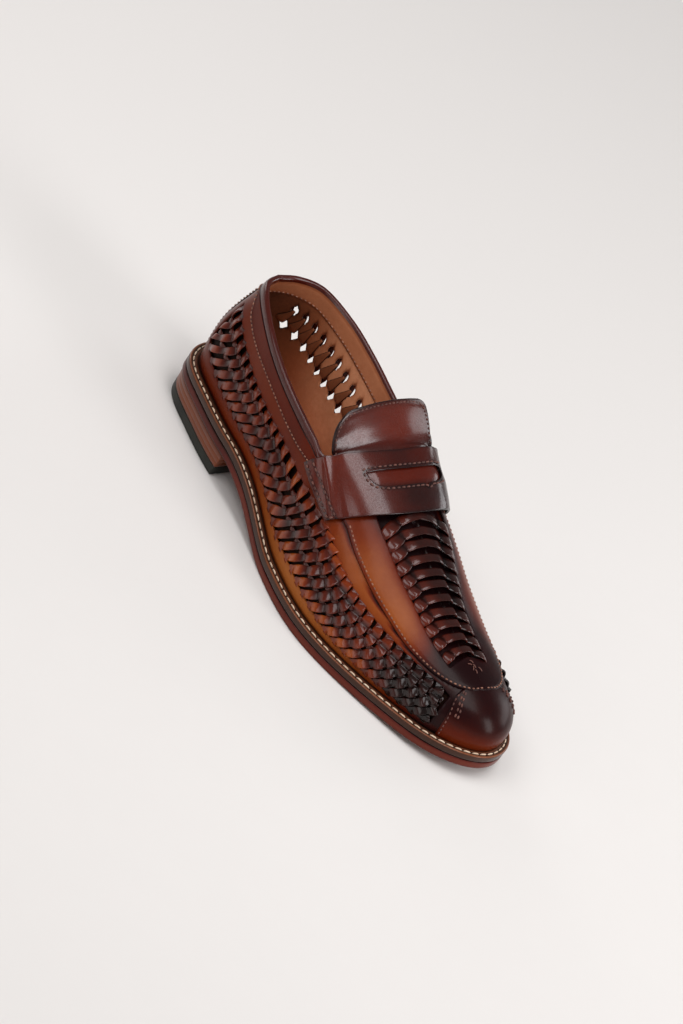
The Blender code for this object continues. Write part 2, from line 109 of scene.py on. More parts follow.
last = {
    "soleEdge": ((-38, 0), (-29.5, -22), (-5, -31.5), (30, -37.5), (65, -39.5), (105, -48), (145, -53.5),
                 (182, -46), (213, -35), (242, -21), (259, 4), (254.5, 22.5), (228, 41.5), (182, 51),
                 (140, 50), (95, 37.5), (55, 30), (20, 31), (-8, 31), (-27.5, 20)),
    "toePoint": 10, "perSpan": 24,
    "featherInset": 5.8,
    "seatHeight": 16.5, "soleThickness": 4.8, "weltThickness": 4.2, "gap": 0.3,
    "shankStart": 34, "treadStart": 108, "treadEnd": 165, "toeSpring": 7.5,
    # station, x, outer y, outer z, inner y, inner z
    "topline": ((0, -25.5, 0, 91, 0, 91), (.06, -21.3, -11.2, 92, 11.7, 93),
                (.12, -11.7, -20, 92, 21.8, 94.5), (.2, 11, -29.3, 88, 30.1, 91.5),
                (.28, 34, -33.7, 82.7, 33.9, 86.5), (.36, 57.4, -34.2, 77.3, 34.3, 82),
                (.42, 76, -33.5, 73.8, 33.9, 79), (.455, 88, -31.5, 71.5, 32.5, 80),
                (.48, 94.5, -21, 75.5, 25, 83.8), (.5, 97, 4.5, 80.8, 4.5, 80.8)),
    # x, y, z, rise towards the inner side
    "crest": ((97, 4.5, 80.8, .23), (120, 5.5, 73.4, .2), (140, 5.5, 65.6, .13), (160, 5, 57.6, .07),
              (178, 4.5, 52, .04), (196, 3.5, 46.8, .02), (212, 3, 43.6, .01), (226, 2.5, 42.2, 0)),
    # station, outer bulge, inner bulge, outer rise, inner rise, lean in degrees, reach
    "wallCurve": ((0, 5, 5, .49, .49, 15, .54), (.12, 4.4, 3.5, .48, .47, 12, .49),
                  (.28, 1.7, 1.6, .41, .46, 18, .49), (.42, .7, 1.1, .4, .54, 35, .57),
                  (.5, .9, 1.4, .54, .76, 82, .75), (.6, 1.9, 1.7, .6, .72, 90, .72),
                  (.72, 2, 2.4, .65, .66, 90, .63), (.87, 3, 4.2, .7, .71, 90, .62),
                  (1, 4, 4, .62, .62, 90, .63)),
    # station of the throat, reach of the slope's start there, reach of the fairing and of its bell
    "throat": 0.5, "slopeStart": 0.05, "fairing": 0.04, "fairingBell": 0.08,
    # where the two sides' directions are joined: stations at heel and toe, share of the wall at the crest
    "endTurn": 0.02, "crestTurn": 0.05,
    "apronSeam": ((.5, .59), (.6, .54), (.7, .51), (.78, .5), (.84, .54), (.88, .61), (.92, .72), (.96, .83),
                  (1, .865)),
}

edge = closedSpline(last["soleEdge"], last["perSpan"])
edgeStep = unit(np.roll(edge, -1, 0) - np.roll(edge, 1, 0))
edgeOut = np.stack([edgeStep[:, 1], -edgeStep[:, 0]], 1)


def edgeLine(side, u, inset):
    # plan points at stations u of one side, 0 outer and 1 inner, moved in from the sole's edge;
    # stations are shares of the feather line's length
    tip = last["toePoint"] * last["perSpan"]
    order = (np.arange(tip + 1), np.r_[0, np.arange(len(edge) - 1, tip - 1, -1)])[side]
    line = edge[order] - edgeOut[order] * last["featherInset"]
    share = runningLength(line) / runningLength(line)[-1]
    outwards = last["featherInset"] - inset
    return np.stack([np.interp(u, share, line[:, k]) + np.interp(u, share, edgeOut[order, k]) * outwards
                     for k in (0, 1)], -1)


def soleHeight(x):
    # underside of the outsole: seat, waist as a cubic, flat tread, toe spring as a square
    t = np.clip((x - last["shankStart"]) / (last["treadStart"] - last["shankStart"]), 0, 1)
    toTip = last["soleEdge"][last["toePoint"]][0] - last["treadEnd"]
    spring = np.clip((x - last["treadEnd"]) / toTip, 0, None)
    return last["seatHeight"] * (1 - t) ** 2 * (1 + 2 * t) + last["toeSpring"] * spring**2


def topLine(side, u):
    # upper end of the wall: the topline to the throat, then the crest with x as a quarter sine
    crest, rim = np.array(last["crest"], float), last["topline"]
    share = np.clip((u - last["throat"]) / (1 - last["throat"]), 0, 1)
    x = crest[0, 0] + (crest[-1, 0] - crest[0, 0]) * np.sin(share * np.pi / 2)
    ahead = np.stack([x, smoothTable(x, crest, 1), smoothTable(x, crest, 2)], -1)
    behind = np.stack([smoothTable(u, rim, column) for column in (1, 2 + 2 * side, 3 + 2 * side)], -1)
    return np.where((u >= last["throat"])[..., None], ahead, behind)


def wallCurve(side, u, v):
    # cubic Bezier from feather edge to top: foot, bulged low point, leaning high point, top
    crest, shape = np.array(last["crest"], float), last["wallCurve"]
    footPlan = edgeLine(side, u, last["featherInset"])
    footHeight = (soleHeight(footPlan[..., 0]) + last["soleThickness"] + last["weltThickness"]
                  + 2 * last["gap"])
    foot = np.concatenate([footPlan, footHeight[..., None]], -1)
    top = topLine(side, u)
    inward = (top - foot)[..., :2]
    width = np.linalg.norm(inward, axis=-1)
    inward = inward / width[..., None]
    height = top[..., 2] - foot[..., 2]
    lean = np.radians(smoothTable(u, shape, 5))
    crestSlope = np.column_stack([crest[:, 0], np.gradient(crest[:, 2], crest[:, 0])])
    slope = (smoothTable(top[..., 0], crestSlope, 1) * inward[..., 0]
             + smoothTable(top[..., 0], crest, 3) * inward[..., 1])
    slope = slope * np.clip((u - last["throat"] + last["slopeStart"]) / (2 * last["slopeStart"]), 0, 1)
    reach = smoothTable(u, shape, 6) * (np.sin(lean) * width + np.cos(lean) * height)
    low, high = foot.copy(), top.copy()
    low[..., :2] -= inward * smoothTable(u, shape, 1 + side)[..., None]
    low[..., 2] += height * smoothTable(u, shape, 3 + side)
    high[..., :2] -= inward * (np.sin(lean) * reach)[..., None]
    high[..., 2] -= (np.cos(lean) + np.sin(lean) * slope) * reach
    t = v[..., None]
    return (1 - t) ** 3 * foot + 3 * t * (1 - t) ** 2 * low + 3 * t**2 * (1 - t) * high + t**3 * top


def wallAt(side, u, v):
    # the upper's surface: mean of five neighbouring curves near the throat, one curve elsewhere
    u, v = np.broadcast_arrays(np.asarray(u, float), np.asarray(v, float))
    reach = last["fairing"] * bell(u, last["throat"], last["fairingBell"])
    reach = reach * np.sqrt(np.clip(4 * v * (1 - v), 0, 1))
    shares = {-2: 0.0625, -1: 0.25, 0: 0.375, 1: 0.25, 2: 0.0625}
    return sum(share * wallCurve(side, np.clip(u + step * reach, 0, 1), v) for step, share in shares.items())


def wallTurn(side, u, v):
    # point and unit directions along, up and out of the wall, by differences over two steps, kept inside it
    step = 0.003
    back = np.clip(u - step, 0, 1 - 2 * step)
    down = np.clip(v - step, 0, 1 - 2 * step)
    here = wallAt(side, u, v)
    along = unit(wallAt(side, back + 2 * step, v) - wallAt(side, back, v))
    up = unit(wallAt(side, u, down + 2 * step) - wallAt(side, u, down))
    return here, along, up, unit(np.cross(along, up) * (1 if side == 0 else -1))


def wallFrame(side, u, v):
    # the same, but at heel and toe the outward direction turns into the mean of the two sides'
    u, v = np.broadcast_arrays(np.asarray(u, float), np.asarray(v, float))
    here, along, up, out = wallTurn(side, u, v)
    end = np.where(u < 0.5, 0.0, 1.0)
    share = (1 - rise(np.abs(u - end), 0, last["endTurn"]))[..., None]
    if share.max() > 0:
        both = unit(wallTurn(0, end, v)[3] + wallTurn(1, end, v)[3])
        out = unit(out * (1 - share) + both * share)
    return here, along, up, out


def offWall(side, u, v, lift=0.0):
    # point of the wall moved out by lift
    here, _, _, out = wallFrame(side, u, v)
    return here + out * np.broadcast_to(lift, here.shape[:-1])[..., None]


def vampFrame(u, w):
    # the vamp from side to side: w below 0 on the outer side and above 0 on the inner, 0 on the crest
    u, w = np.broadcast_arrays(np.asarray(u, float), np.asarray(w, float))
    parts = [wallFrame(side, u, 1 - np.abs(w)) for side in (0, 1)]
    inner = (w > 0)[..., None]
    here = np.where(inner, parts[1][0], parts[0][0])
    share = (0.5 + 0.5 * np.clip(w / last["crestTurn"], -1, 1))[..., None]
    out = unit(parts[0][3] * (1 - share) + parts[1][3] * share)
    along = unit(parts[0][1] * (1 - share) + parts[1][1] * share)
    return here, along, unit(np.cross(out, along)), out


def offVamp(u, w, lift=0.0):
    # point of the vamp moved out by lift
    here, _, _, out = vampFrame(u, w)
    return here + out * np.broadcast_to(lift, here.shape[:-1])[..., None]


# meshes

def gridFaces(rows, columns, wrapRows=False, wrapColumns=False, flip=False):
    # quads between neighbouring points of a grid
    i = np.arange(rows if wrapRows else rows - 1)[:, None]
    j = np.arange(columns if wrapColumns else columns - 1)[None]
    i2, j2 = (i + 1) % rows, (j + 1) % columns
    quads = np.stack([i * columns + j, i2 * columns + j, i2 * columns + j2, i * columns + j2], -1)
    return quads.reshape(-1, 4)[:, ::-1] if flip else quads.reshape(-1, 4)


def joinParts(parts):
    # several (points, faces, values) as one
    points, faces, values, start = [], [], [], 0
    for place, corners, value in parts:
        points.append(place.reshape(-1, 3))
        faces.append(corners + start)
        values.append(np.ravel(value))
        start += len(points[-1])
    return np.concatenate(points), np.concatenate(faces), np.concatenate(values)


def makePiece(name, parts, materials, weld=True, stands=()):
    # one mesh from the parts: equal points welded, collapsed corners dropped, values kept as its shade
    points, faces, values = joinParts(parts)
    if weld:
        _, first, where = np.unique(np.round(points, 3), axis=0, return_index=True, return_inverse=True)
        points, values, faces = points[first], values[first], where.reshape(-1)[faces]
    same = faces == np.roll(faces, -1, 1)
    quads = faces[same.sum(1) == 0]
    trios = faces[same.sum(1) == 1]
    trios = trios[~same[same.sum(1) == 1]].reshape(-1, 3)
    mesh = bpy.data.meshes.new(name)
    mesh.from_pydata(points * mm, [], quads.tolist() + trios.tolist())
    mesh.validate()
    mesh.attributes.new("tone_and_painted_shade", "FLOAT", "POINT").data.foreach_set("value", values.astype(np.float32))
    mesh.polygons.foreach_set("use_smooth", np.ones(len(mesh.polygons), bool))
    for material in materials:
        mesh.materials.append(material)
    piece = bpy.data.objects.new(name, mesh)
    bpy.context.scene.collection.objects.link(piece)
    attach(piece, "root")
    if stands:
        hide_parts(*stands)
    return piece


def giveThickness(piece, thickness, inside=0, rim=0):
    # sheet to leather: the second face lies inward, with its own material if asked
    wall = piece.modifiers.new("thickness", "SOLIDIFY")
    wall.thickness, wall.offset = thickness * mm, -1
    wall.use_even_offset = False
    wall.material_offset, wall.material_offset_rim = inside, rim


def edgeRoll(distance, radius):
    # how far a sheet's face drops towards its cut edge, as a quarter circle
    return radius * (1 - np.sqrt(1 - np.clip(1 - distance / radius, 0, 1) ** 2))


def evenly(points, count, out=None):
    # the path again with points at equal spacing, and its outward directions if they are given
    length = runningLength(points)
    at = np.linspace(0, length[-1], count)
    if out is None:
        return atLengths(points, length, at)
    return atLengths(points, length, at), atLengths(out, length, at)


def turnAlong(centre, out):
    # unit directions along many paths at once, across them, and out of them square to both
    along = unit(np.gradient(centre, axis=1))
    across = unit(np.cross(along, out))
    return along, across, unit(np.cross(across, along))


def ringSection(count, square=0.5):
    # round to square outline of a section: cosine and sine raised to a power
    angle = np.linspace(0, 2 * np.pi, count, endpoint=False)
    c, s = np.cos(angle), np.sin(angle)
    return np.stack([np.sign(c) * np.abs(c) ** square, np.sign(s) * np.abs(s) ** square], 1)


def tubeAlong(centre, across, out, halfWidth, halfHeight, section, values=0.0):
    # section carried along many paths at once: paths x stations x 3, closed at both ends
    paths, stations = centre.shape[:2]
    ring = len(section)
    halfWidth = np.broadcast_to(halfWidth, (paths, stations))[..., None, None]
    halfHeight = np.broadcast_to(halfHeight, (paths, stations))[..., None, None]
    points = (centre[:, :, None] + across[:, :, None] * section[:, 0, None] * halfWidth
              + out[:, :, None] * section[:, 1, None] * halfHeight)
    one = gridFaces(stations, ring, wrapColumns=True)
    k = np.arange(ring // 2 - 1)
    cap = np.stack([k, k + 1, ring - 2 - k, ring - 1 - k], 1)
    one = np.concatenate([one, cap, cap[:, ::-1] + (stations - 1) * ring])
    faces = (one[None] + (np.arange(paths) * stations * ring)[:, None, None]).reshape(-1, 4)
    values = np.broadcast_to(values, (paths, stations)).reshape(-1)
    return points.reshape(-1, 3), faces, np.repeat(values, ring)


def stitchRow(path, out, length, space, width, height, sink=0.35):
    # stitches along a path, evenly spaced: each a short bead whose ends, thinned by a cube, are sunk;
    # a value between 0 and 1 that jumps about from stitch to stitch
    gone = runningLength(path)
    count = max(int(gone[-1] / (length + space)), 1)
    middle = (np.arange(count) + 0.5) * gone[-1] / count
    t = np.linspace(-1, 1, 7)
    at = middle[:, None] + t[None] * length / 2
    centre, outward = atLengths(path, gone, at), unit(atLengths(out, gone, at))
    across = unit(np.cross(unit(np.gradient(centre, axis=1)), outward))
    full = np.sqrt(np.clip(1 - np.abs(t) ** 3, 0.06, 1))
    centre = centre + outward * ((full - 1) * height * sink * 2 + height * 0.2)[None, :, None]
    jump = np.broadcast_to(np.arange(count)[:, None] * 1.7 % 1, at.shape)
    return tubeAlong(centre, across, outward, width / 2 * full, height / 2 * full, ringSection(6, 0.9), jump)


def onWallPath(side, u, v, lift, count):
    # even path on the wall, moved out by lift, with its outward directions
    here, _, _, out = wallFrame(side, u, v)
    return evenly(here + out * lift, count, out)


# colours and shared shader groups

def tone(red, green, blue):
    # screen values 0 to 255 as linear colour
    c = np.array((red, green, blue)) / 255
    return (*np.where(c <= 0.04045, c / 12.92, ((c + 0.055) / 1.055) ** 2.4), 1.0)


def feed(tree, socket, value):
    # link the socket to an output, or set its value
    if isinstance(value, bpy.types.NodeSocket):
        tree.links.new(value, socket)
    else:
        socket.default_value = value


def node(tree, kind, group=None, **inputs):
    # a node with its inputs set or linked by name, a group's node if a group is given
    made = tree.nodes.new(kind)
    if group:
        made.node_tree = group
    for name, value in inputs.items():
        feed(tree, made.inputs[name.replace("_", " ")], value)
    return made


def objectPlace(tree):
    # place in the piece's own coordinates, which are the shoe's in metres
    return tree.nodes.new("ShaderNodeTexCoord").outputs["Object"]


def ownShade(tree):
    # the shade that the piece's mesh carries
    made = tree.nodes.new("ShaderNodeAttribute")
    made.attribute_name = "tone_and_painted_shade"
    return made.outputs["Fac"]


def calculate(tree, operation, first, second=0.0, third=0.0, clamp=False):
    # a math node on up to three values
    made = tree.nodes.new("ShaderNodeMath")
    made.operation, made.use_clamp = operation, clamp
    for socket, value in zip(made.inputs, (first, second, third)):
        feed(tree, socket, value)
    return made.outputs[0]


def ramp(tree, factor, stops):
    # straight colour ramp through stops of position and colour
    made = tree.nodes.new("ShaderNodeValToRGB")
    elements = made.color_ramp.elements
    elements[0].position, elements[0].color = stops[0][0], stops[0][1]
    elements[1].position, elements[1].color = stops[-1][0], stops[-1][1]
    for position, colour in stops[1:-1]:
        elements.new(position).color = colour
    tree.links.new(factor, made.inputs[0])
    return made.outputs[0]


def carry(tree, value, span, low, high):
    # the value's place in its span as a place between low and high
    return node(tree, "ShaderNodeMapRange", Value=value, From_Min=span[0], From_Max=span[1],
                To_Min=low, To_Max=high).outputs["Result"]


def addBump(tree, shader, height, strength, depth):
    # height as bump, depth in metres
    bump = node(tree, "ShaderNodeBump", Height=height, Strength=strength, Distance=depth)
    tree.links.new(bump.outputs["Normal"], shader.inputs["Normal"])


def startGroup(name, inputs, outputs):
    # an empty group with its named sockets, all plain numbers
    tree = bpy.data.node_groups.new(name, "ShaderNodeTree")
    for label, value in inputs:
        tree.interface.new_socket(label, in_out="INPUT", socket_type="NodeSocketFloat").default_value = value
    for label in outputs:
        tree.interface.new_socket(label, in_out="OUTPUT", socket_type="NodeSocketFloat")
    return tree, tree.nodes.new("NodeGroupInput"), tree.nodes.new("NodeGroupOutput")


def noiseAt(tree, spot, scale, detail=3.0, roughness=0.55):
    # cloudy noise, cells to the metre
    return node(tree, "ShaderNodeTexNoise", Vector=spot, Scale=scale, Detail=detail,
                Roughness=roughness).outputs["Fac"]


def makePatina():
    # hand burnishing: the piece's own shade, its tone and painted shade, plus cloudy and fine mottling, each
    # noise less its mean
    tree, into, out = startGroup("patina", (("Shade", 0.5), ("Cloud", 0.2), ("Fine", 0.08)),
                                 ("Shade", "Dull"))
    spot = objectPlace(tree)
    cloud = calculate(tree, "SUBTRACT", noiseAt(tree, spot, 28.0, 3.0), 0.5)
    fine = calculate(tree, "SUBTRACT", noiseAt(tree, spot, 420.0, 4.0, 0.65), 0.5)
    total = calculate(tree, "MULTIPLY_ADD", cloud, into.outputs["Cloud"], into.outputs["Shade"])
    total = calculate(tree, "MULTIPLY_ADD", fine, into.outputs["Fine"], total, clamp=True)
    tree.links.new(total, out.inputs["Shade"])
    tree.links.new(calculate(tree, "ADD", fine, 0.5, clamp=True), out.inputs["Dull"])
    return tree


def makeGrain():
    # leather grain: a slow waviness, less small pebbles between furrows, plus fibres
    tree, into, out = startGroup("leatherGrain", (("Scale", 1400.0), ("Pebble", 1.0), ("Wave", 0.4)),
                                 ("Height",))
    spot = objectPlace(tree)
    cells = node(tree, "ShaderNodeTexVoronoi", Vector=spot, Scale=into.outputs["Scale"])
    pebble = calculate(tree, "MULTIPLY", cells.outputs["Distance"], into.outputs["Pebble"])
    wave = calculate(tree, "MULTIPLY", noiseAt(tree, spot, 160.0, 2.0), into.outputs["Wave"])
    fine = calculate(tree, "MULTIPLY", noiseAt(tree, spot, 2600.0, 2.0), 0.35)
    height = calculate(tree, "ADD", calculate(tree, "SUBTRACT", wave, pebble), fine)
    tree.links.new(height, out.inputs["Height"])
    return tree


patina, leatherGrain = makePatina(), makeGrain()
coatShare = (0.55, 1.35)     # of a leather's coat, in its furrows and on its tops


def startMaterial(name, roughness, specular=0.5, coat=0.0, coatRoughness=0.1, tint=(1, 1, 1, 1)):
    # a material with its even values on the shader's own sockets
    material = bpy.data.materials.new(name)
    material.use_nodes = True
    tree = material.node_tree
    shader = tree.nodes["Principled BSDF"]
    for label, value in (("Roughness", roughness), ("Specular IOR Level", specular), ("Specular Tint", tint),
                         ("Coat Weight", coat), ("Coat Roughness", coatRoughness)):
        shader.inputs[label].default_value = value
    return material, tree, shader


def leather(name, stops, look):
    # polished leather: the piece's shade, its tone and painted shade, through the patina to a ramp, duller
    # where fine mottling is high; the grain as bump, its tops more polished than its furrows
    material, tree, shader = startMaterial(name, look["rough"], look.get("specular", 0.36), look["coat"],
                                           look["coatRough"], look.get("tint", (1, 0.5, 0.34, 1)))
    aged = node(tree, "ShaderNodeGroup", patina, Shade=ownShade(tree), Cloud=look["cloud"], Fine=look["fine"])
    feed(tree, shader.inputs["Base Color"], ramp(tree, aged.outputs["Shade"], stops))
    grain = node(tree, "ShaderNodeGroup", leatherGrain, Scale=look["grain"], Pebble=look["pebble"],
                 Wave=look["wave"]).outputs["Height"]
    low, high = look["rough"] - look["roughSpread"], look["rough"] + look["roughSpread"]
    feed(tree, shader.inputs["Roughness"], carry(tree, aged.outputs["Dull"], (0.0, 1.0), low, high))
    low, high = look["coat"] * coatShare[0], look["coat"] * coatShare[1]
    feed(tree, shader.inputs["Coat Weight"], carry(tree, grain, (-0.5, 0.5), low, high))
    addBump(tree, shader, grain, look["strength"], look["depth"])
    return material


# leathers: stops from the palest to the darkest, the most burnished and the deepest painted shade; roughness
# and its spread, coat and its roughness, clouding and fine mottling, specular and its tint; grain per metre,
# pebbles and waviness, bump and its depth
burnishedLeather = leather("burnished_leather", (
    (0.0, tone(160, 92, 40)), (0.2, tone(138, 70, 28)), (0.42, tone(106, 39, 10)), (0.6, tone(84, 23, 5)),
    (0.78, tone(56, 17, 12)), (1.0, tone(26, 8, 10))),
    {"rough": 0.32, "roughSpread": 0.05, "coat": 0.08, "coatRough": 0.2, "cloud": 0.24, "fine": 0.08,
     "specular": 0.07, "tint": (1, 0.8, 0.7, 1),
     "grain": 1700.0, "pebble": 0.4, "wave": 0.8, "strength": 0.22, "depth": 0.0003})
oxbloodLeather = leather("oxblood_leather", (
    (0.0, tone(132, 46, 16)), (0.3, tone(102, 28, 6)), (0.55, tone(68, 15, 5)), (0.8, tone(38, 9, 7)),
    (1.0, tone(18, 7, 8))),
    {"rough": 0.33, "roughSpread": 0.05, "coat": 0.72, "coatRough": 0.17, "cloud": 0.2, "fine": 0.1,
     "specular": 0.08, "tint": (1, 0.85, 0.8, 1),
     "grain": 1300.0, "pebble": 0.9, "wave": 0.5, "strength": 0.55, "depth": 0.0003})
wovenLeather = leather("woven_leather", (
    (0.0, tone(160, 78, 26)), (0.3, tone(116, 44, 18)), (0.55, tone(78, 26, 16)), (0.8, tone(42, 15, 12)),
    (1.0, tone(16, 8, 8))),
    {"rough": 0.4, "roughSpread": 0.08, "coat": 0.55, "coatRough": 0.16, "cloud": 0.35, "fine": 0.15,
     "specular": 0.05,
     "grain": 1800.0, "pebble": 0.5, "wave": 0.8, "strength": 0.3, "depth": 0.0003})
liningLeather = leather("lining_leather", (
    (0.0, tone(224, 162, 124)), (0.22, tone(180, 120, 86)), (0.5, tone(144, 84, 54)),
    (1.0, tone(42, 19, 12))),
    {"rough": 0.5, "roughSpread": 0.08, "coat": 0.0, "coatRough": 0.3, "cloud": 0.25, "fine": 0.15,
     "grain": 1800.0, "pebble": 0.5, "wave": 0.6, "strength": 0.25, "depth": 0.0002})
# the lining's back, near black: painted shade seen through the weave's gaps
liningBackPaintedShade = leather("lining_back_painted_shade", ((0.0, tone(30, 15, 10)), (1.0, tone(14, 8, 7))),
    {"rough": 0.6, "roughSpread": 0.05, "coat": 0.0, "coatRough": 0.3, "cloud": 0.2, "fine": 0.15,
     "specular": 0.1,
     "grain": 1800.0, "pebble": 0.5, "wave": 0.6, "strength": 0.25, "depth": 0.0002})
soleLeather = leather("sole_leather", (
    (0.0, tone(150, 86, 50)), (0.4, tone(104, 46, 34)), (0.7, tone(80, 28, 24)), (1.0, tone(32, 16, 14))),
    {"rough": 0.3, "roughSpread": 0.08, "coat": 0.1, "coatRough": 0.16, "cloud": 0.3, "fine": 0.2,
     "specular": 0.12,
     "grain": 1100.0, "pebble": 0.3, "wave": 0.8, "strength": 0.25, "depth": 0.0003})
weltLeather = leather("welt_leather", (
    (0.0, tone(176, 140, 112)), (0.3, tone(120, 70, 46)), (0.6, tone(58, 34, 24)), (1.0, tone(24, 17, 14))),
    {"rough": 0.34, "roughSpread": 0.08, "coat": 0.2, "coatRough": 0.16, "cloud": 0.3, "fine": 0.2,
     "grain": 1300.0, "pebble": 0.4, "wave": 0.6, "strength": 0.3, "depth": 0.0003})


def thread(name, light, dark):
    # twisted thread: colour varies from stitch to stitch, fibres as fine noise
    material, tree, shader = startMaterial(name, 0.6, 0.4)
    fibre = noiseAt(tree, objectPlace(tree), 3200.0, 3.0, 0.7)
    mixed = calculate(tree, "MULTIPLY_ADD", ownShade(tree), 0.4, calculate(tree, "MULTIPLY", fibre, 0.7),
                      clamp=True)
    feed(tree, shader.inputs["Base Color"], ramp(tree, mixed, ((0.1, light), (0.9, dark))))
    addBump(tree, shader, fibre, 0.5, 0.0002)
    return material


creamThread = thread("cream_thread", tone(240, 218, 192), tone(196, 164, 136))
brownThread = thread("brown_thread", tone(172, 122, 98), tone(84, 42, 30))
darkThread = thread("dark_thread", tone(122, 76, 64), tone(48, 24, 22))


def makeStackMaterial():
    # heel lifts of leather board: patina plus noise drawn out in flat streaks; the joints come with the shade
    material, tree, shader = startMaterial("stacked_leather", 0.34, 0.3, 0.2, 0.2, (1, 0.5, 0.34, 1))
    flat = node(tree, "ShaderNodeMapping", Vector=objectPlace(tree), Scale=(20.0, 20.0, 500.0))
    streak = noiseAt(tree, flat.outputs["Vector"], 1.0, 3.0, 0.6)
    aged = node(tree, "ShaderNodeGroup", patina, Shade=ownShade(tree), Cloud=0.25, Fine=0.1).outputs["Shade"]
    shade = calculate(tree, "MULTIPLY_ADD", calculate(tree, "SUBTRACT", streak, 0.5), 0.16, aged, clamp=True)
    stops = ((0.0, tone(138, 74, 38)), (0.4, tone(104, 50, 26)), (0.7, tone(70, 30, 20)),
             (1.0, tone(34, 18, 15)))
    feed(tree, shader.inputs["Base Color"], ramp(tree, shade, stops))
    addBump(tree, shader, streak, 0.12, 0.0002)
    return material


def makeRubberMaterial():
    # moulded rubber: fine pimples and a little grey bloom
    material, tree, shader = startMaterial("heel_rubber", 0.45, 0.3)
    spot = objectPlace(tree)
    bloom = noiseAt(tree, spot, 60.0, 4.0, 0.6)
    feed(tree, shader.inputs["Base Color"],
         ramp(tree, bloom, ((0.3, tone(16, 18, 13)), (0.7, tone(34, 35, 27)))))
    pimple = node(tree, "ShaderNodeTexVoronoi", Vector=spot, Scale=900.0)
    addBump(tree, shader, pimple.outputs["Distance"], 0.25, 0.0002)
    return material


stackedLeather, heelRubber = makeStackMaterial(), makeRubberMaterial()
print("materials made")


# side weave: where it lies

weave = {
    "rear": 0.066, "front": 0.888,          # stations where the band starts and ends
    # station and row spacing: outer side, inner side
    "pitch": (((0, .0225), (.2, .0235), (.4, .0265), (.55, .0255), (.65, .025), (1, .0245)),
              ((0, .0272), (.2, .0281), (.42, .0281), (.55, .026), (.65, .025), (1, .0245))),
    "phase": (0, 0.48),                     # row at the band's rear end
    # station, number of times that a strip stands over on its way up
    "levels": ((0, 3), (.44, 3), (.68, 4), (1, 4)),
    # station, lower end and upper end up the wall: outer side, inner side
    "foot": (((.066, .21), (.09, .165), (.115, .133), (.14, .113), (.2, .108), (.3, .112), (.4, .105),
              (.48, .09), (.53, .08), (.6, .07), (.65, .055), (.8, .045), (.89, .06)),
             ((.066, .18), (.1, .12), (.2, .085), (.35, .08), (.5, .07), (.6, .06), (.8, .045), (.89, .06))),
    "head": (((.066, .77), (.09, .735), (.13, .655), (.18, .61), (.25, .59), (.29, .595), (.34, .65),
              (.4, .69), (.44, .675), (.475, .55), (.51, .48), (.56, .43), (.64, .412), (.7, .415),
              (.77, .445), (.83, .485), (.86, .5), (.89, .49)),
             ((.066, .83), (.12, .83), (.25, .82), (.33, .79), (.4, .73), (.45, .6), (.5, .47), (.56, .41),
              (.64, .39), (.7, .395), (.77, .43), (.83, .47), (.86, .49), (.89, .48))),
    "edgeLength": 311.0,                    # of one side's feather line
    # rows a strip has moved on at each share of its way up: it leaves the lower panel leaning to the toe and
    # arrives nearly upright; behind the throat on the outer side and the inner, and on the vamp
    "path": (((0, 0), (.167, .72), (.333, 1.36), (.5, 1.9), (.667, 2.36), (.833, 2.62), (1, 2.7)),
             ((0, 0), (.167, .8), (.333, 1.48), (.5, 1.9), (.68, 2.1), (.85, 2.17), (1, 2.3))),
    "farPath": ((0, 0), (.2, .85), (.4, 1.45), (.6, 1.76), (.8, 1.74), (1, 1.5)),
    "rootAt": 0.55,                         # row of the first strip's root, past a whole row
    "spill": 0.05, "shortest": 0.15,        # rows kept past the band's ends, least share of a strip kept
    "width": (0.83, 0.66),                  # share of the room between neighbours: outer side, inner side
    "swell": (0.14, -0.12),                 # wider where a strip stands over, or where it dips
    "tilt": (10.0, 25.0),                   # raised toe edge, degrees: where a strip dips, where it is over
    "high": 0.85, "low": -0.5, "thickness": 1.15,
    "tuck": 1.2,                            # how far a strip goes under at the band's ends
    # how strips differ from one to the next: height in millimetres, width and shade
    "wander": (0.16, 0.05, 0.05),
    # laces: levels that they run at, half width, half thickness, height under a strip and between two
    "laceAt": ((1, 2, 3), (1, 2.02, 3.4)), "laceHalf": 1.7, "laceThick": 0.45, "laceLow": -1.45,
    "laceHigh": -0.45,
    "stations": 46, "laceStations": 420,
}

stationLine = np.linspace(0, 1, 2001)


def rowsPassed(side):
    # rows passed since the band's rear end at each station of the line: running sum of one over the spacing
    line = np.cumsum(1 / smoothTable(stationLine, weave["pitch"][side])) / (len(stationLine) - 1)
    return line - (np.interp(weave["rear"], stationLine, line) - weave["phase"][side])


rowLine = [rowsPassed(side) for side in (0, 1)]
rowCount = [int(round(np.interp(weave["front"], stationLine, line))) for line in rowLine]


def stationOf(side, row):
    # station that a row lies at
    return np.interp(row, rowLine[side], stationLine)


def rowAt(side, u):
    # row that lies at a station
    return np.interp(u, stationLine, rowLine[side])


def roomAt(side, u):
    # millimetres from one row to the next
    return smoothTable(u, weave["pitch"][side]) * weave["edgeLength"]


upperLift = 0.3         # millimetres by which the upper's outer face stands off the last


def bandAt(side, u):
    # wall heights of the band's foot and head
    return smoothTable(u, weave["foot"][side]), smoothTable(u, weave["head"][side])


def weaveHeight(side, u, level):
    # wall height of a level coordinate: 0 at the band's foot, one more for each crossing up
    foot, head = bandAt(side, u)
    return foot + (head - foot) * level / smoothTable(u, weave["levels"])


def stripRow(side, first, share):
    # row of a strip at a share of its way up the band: its root's row and the path's gain for the band there
    near, far = smoothTable(share, weave["path"][side]), smoothTable(share, weave["farPath"])
    blend = rise(stationOf(side, np.clip(first, 0, rowCount[side])), 0.44, 0.66)
    return first + near + (far - near) * blend


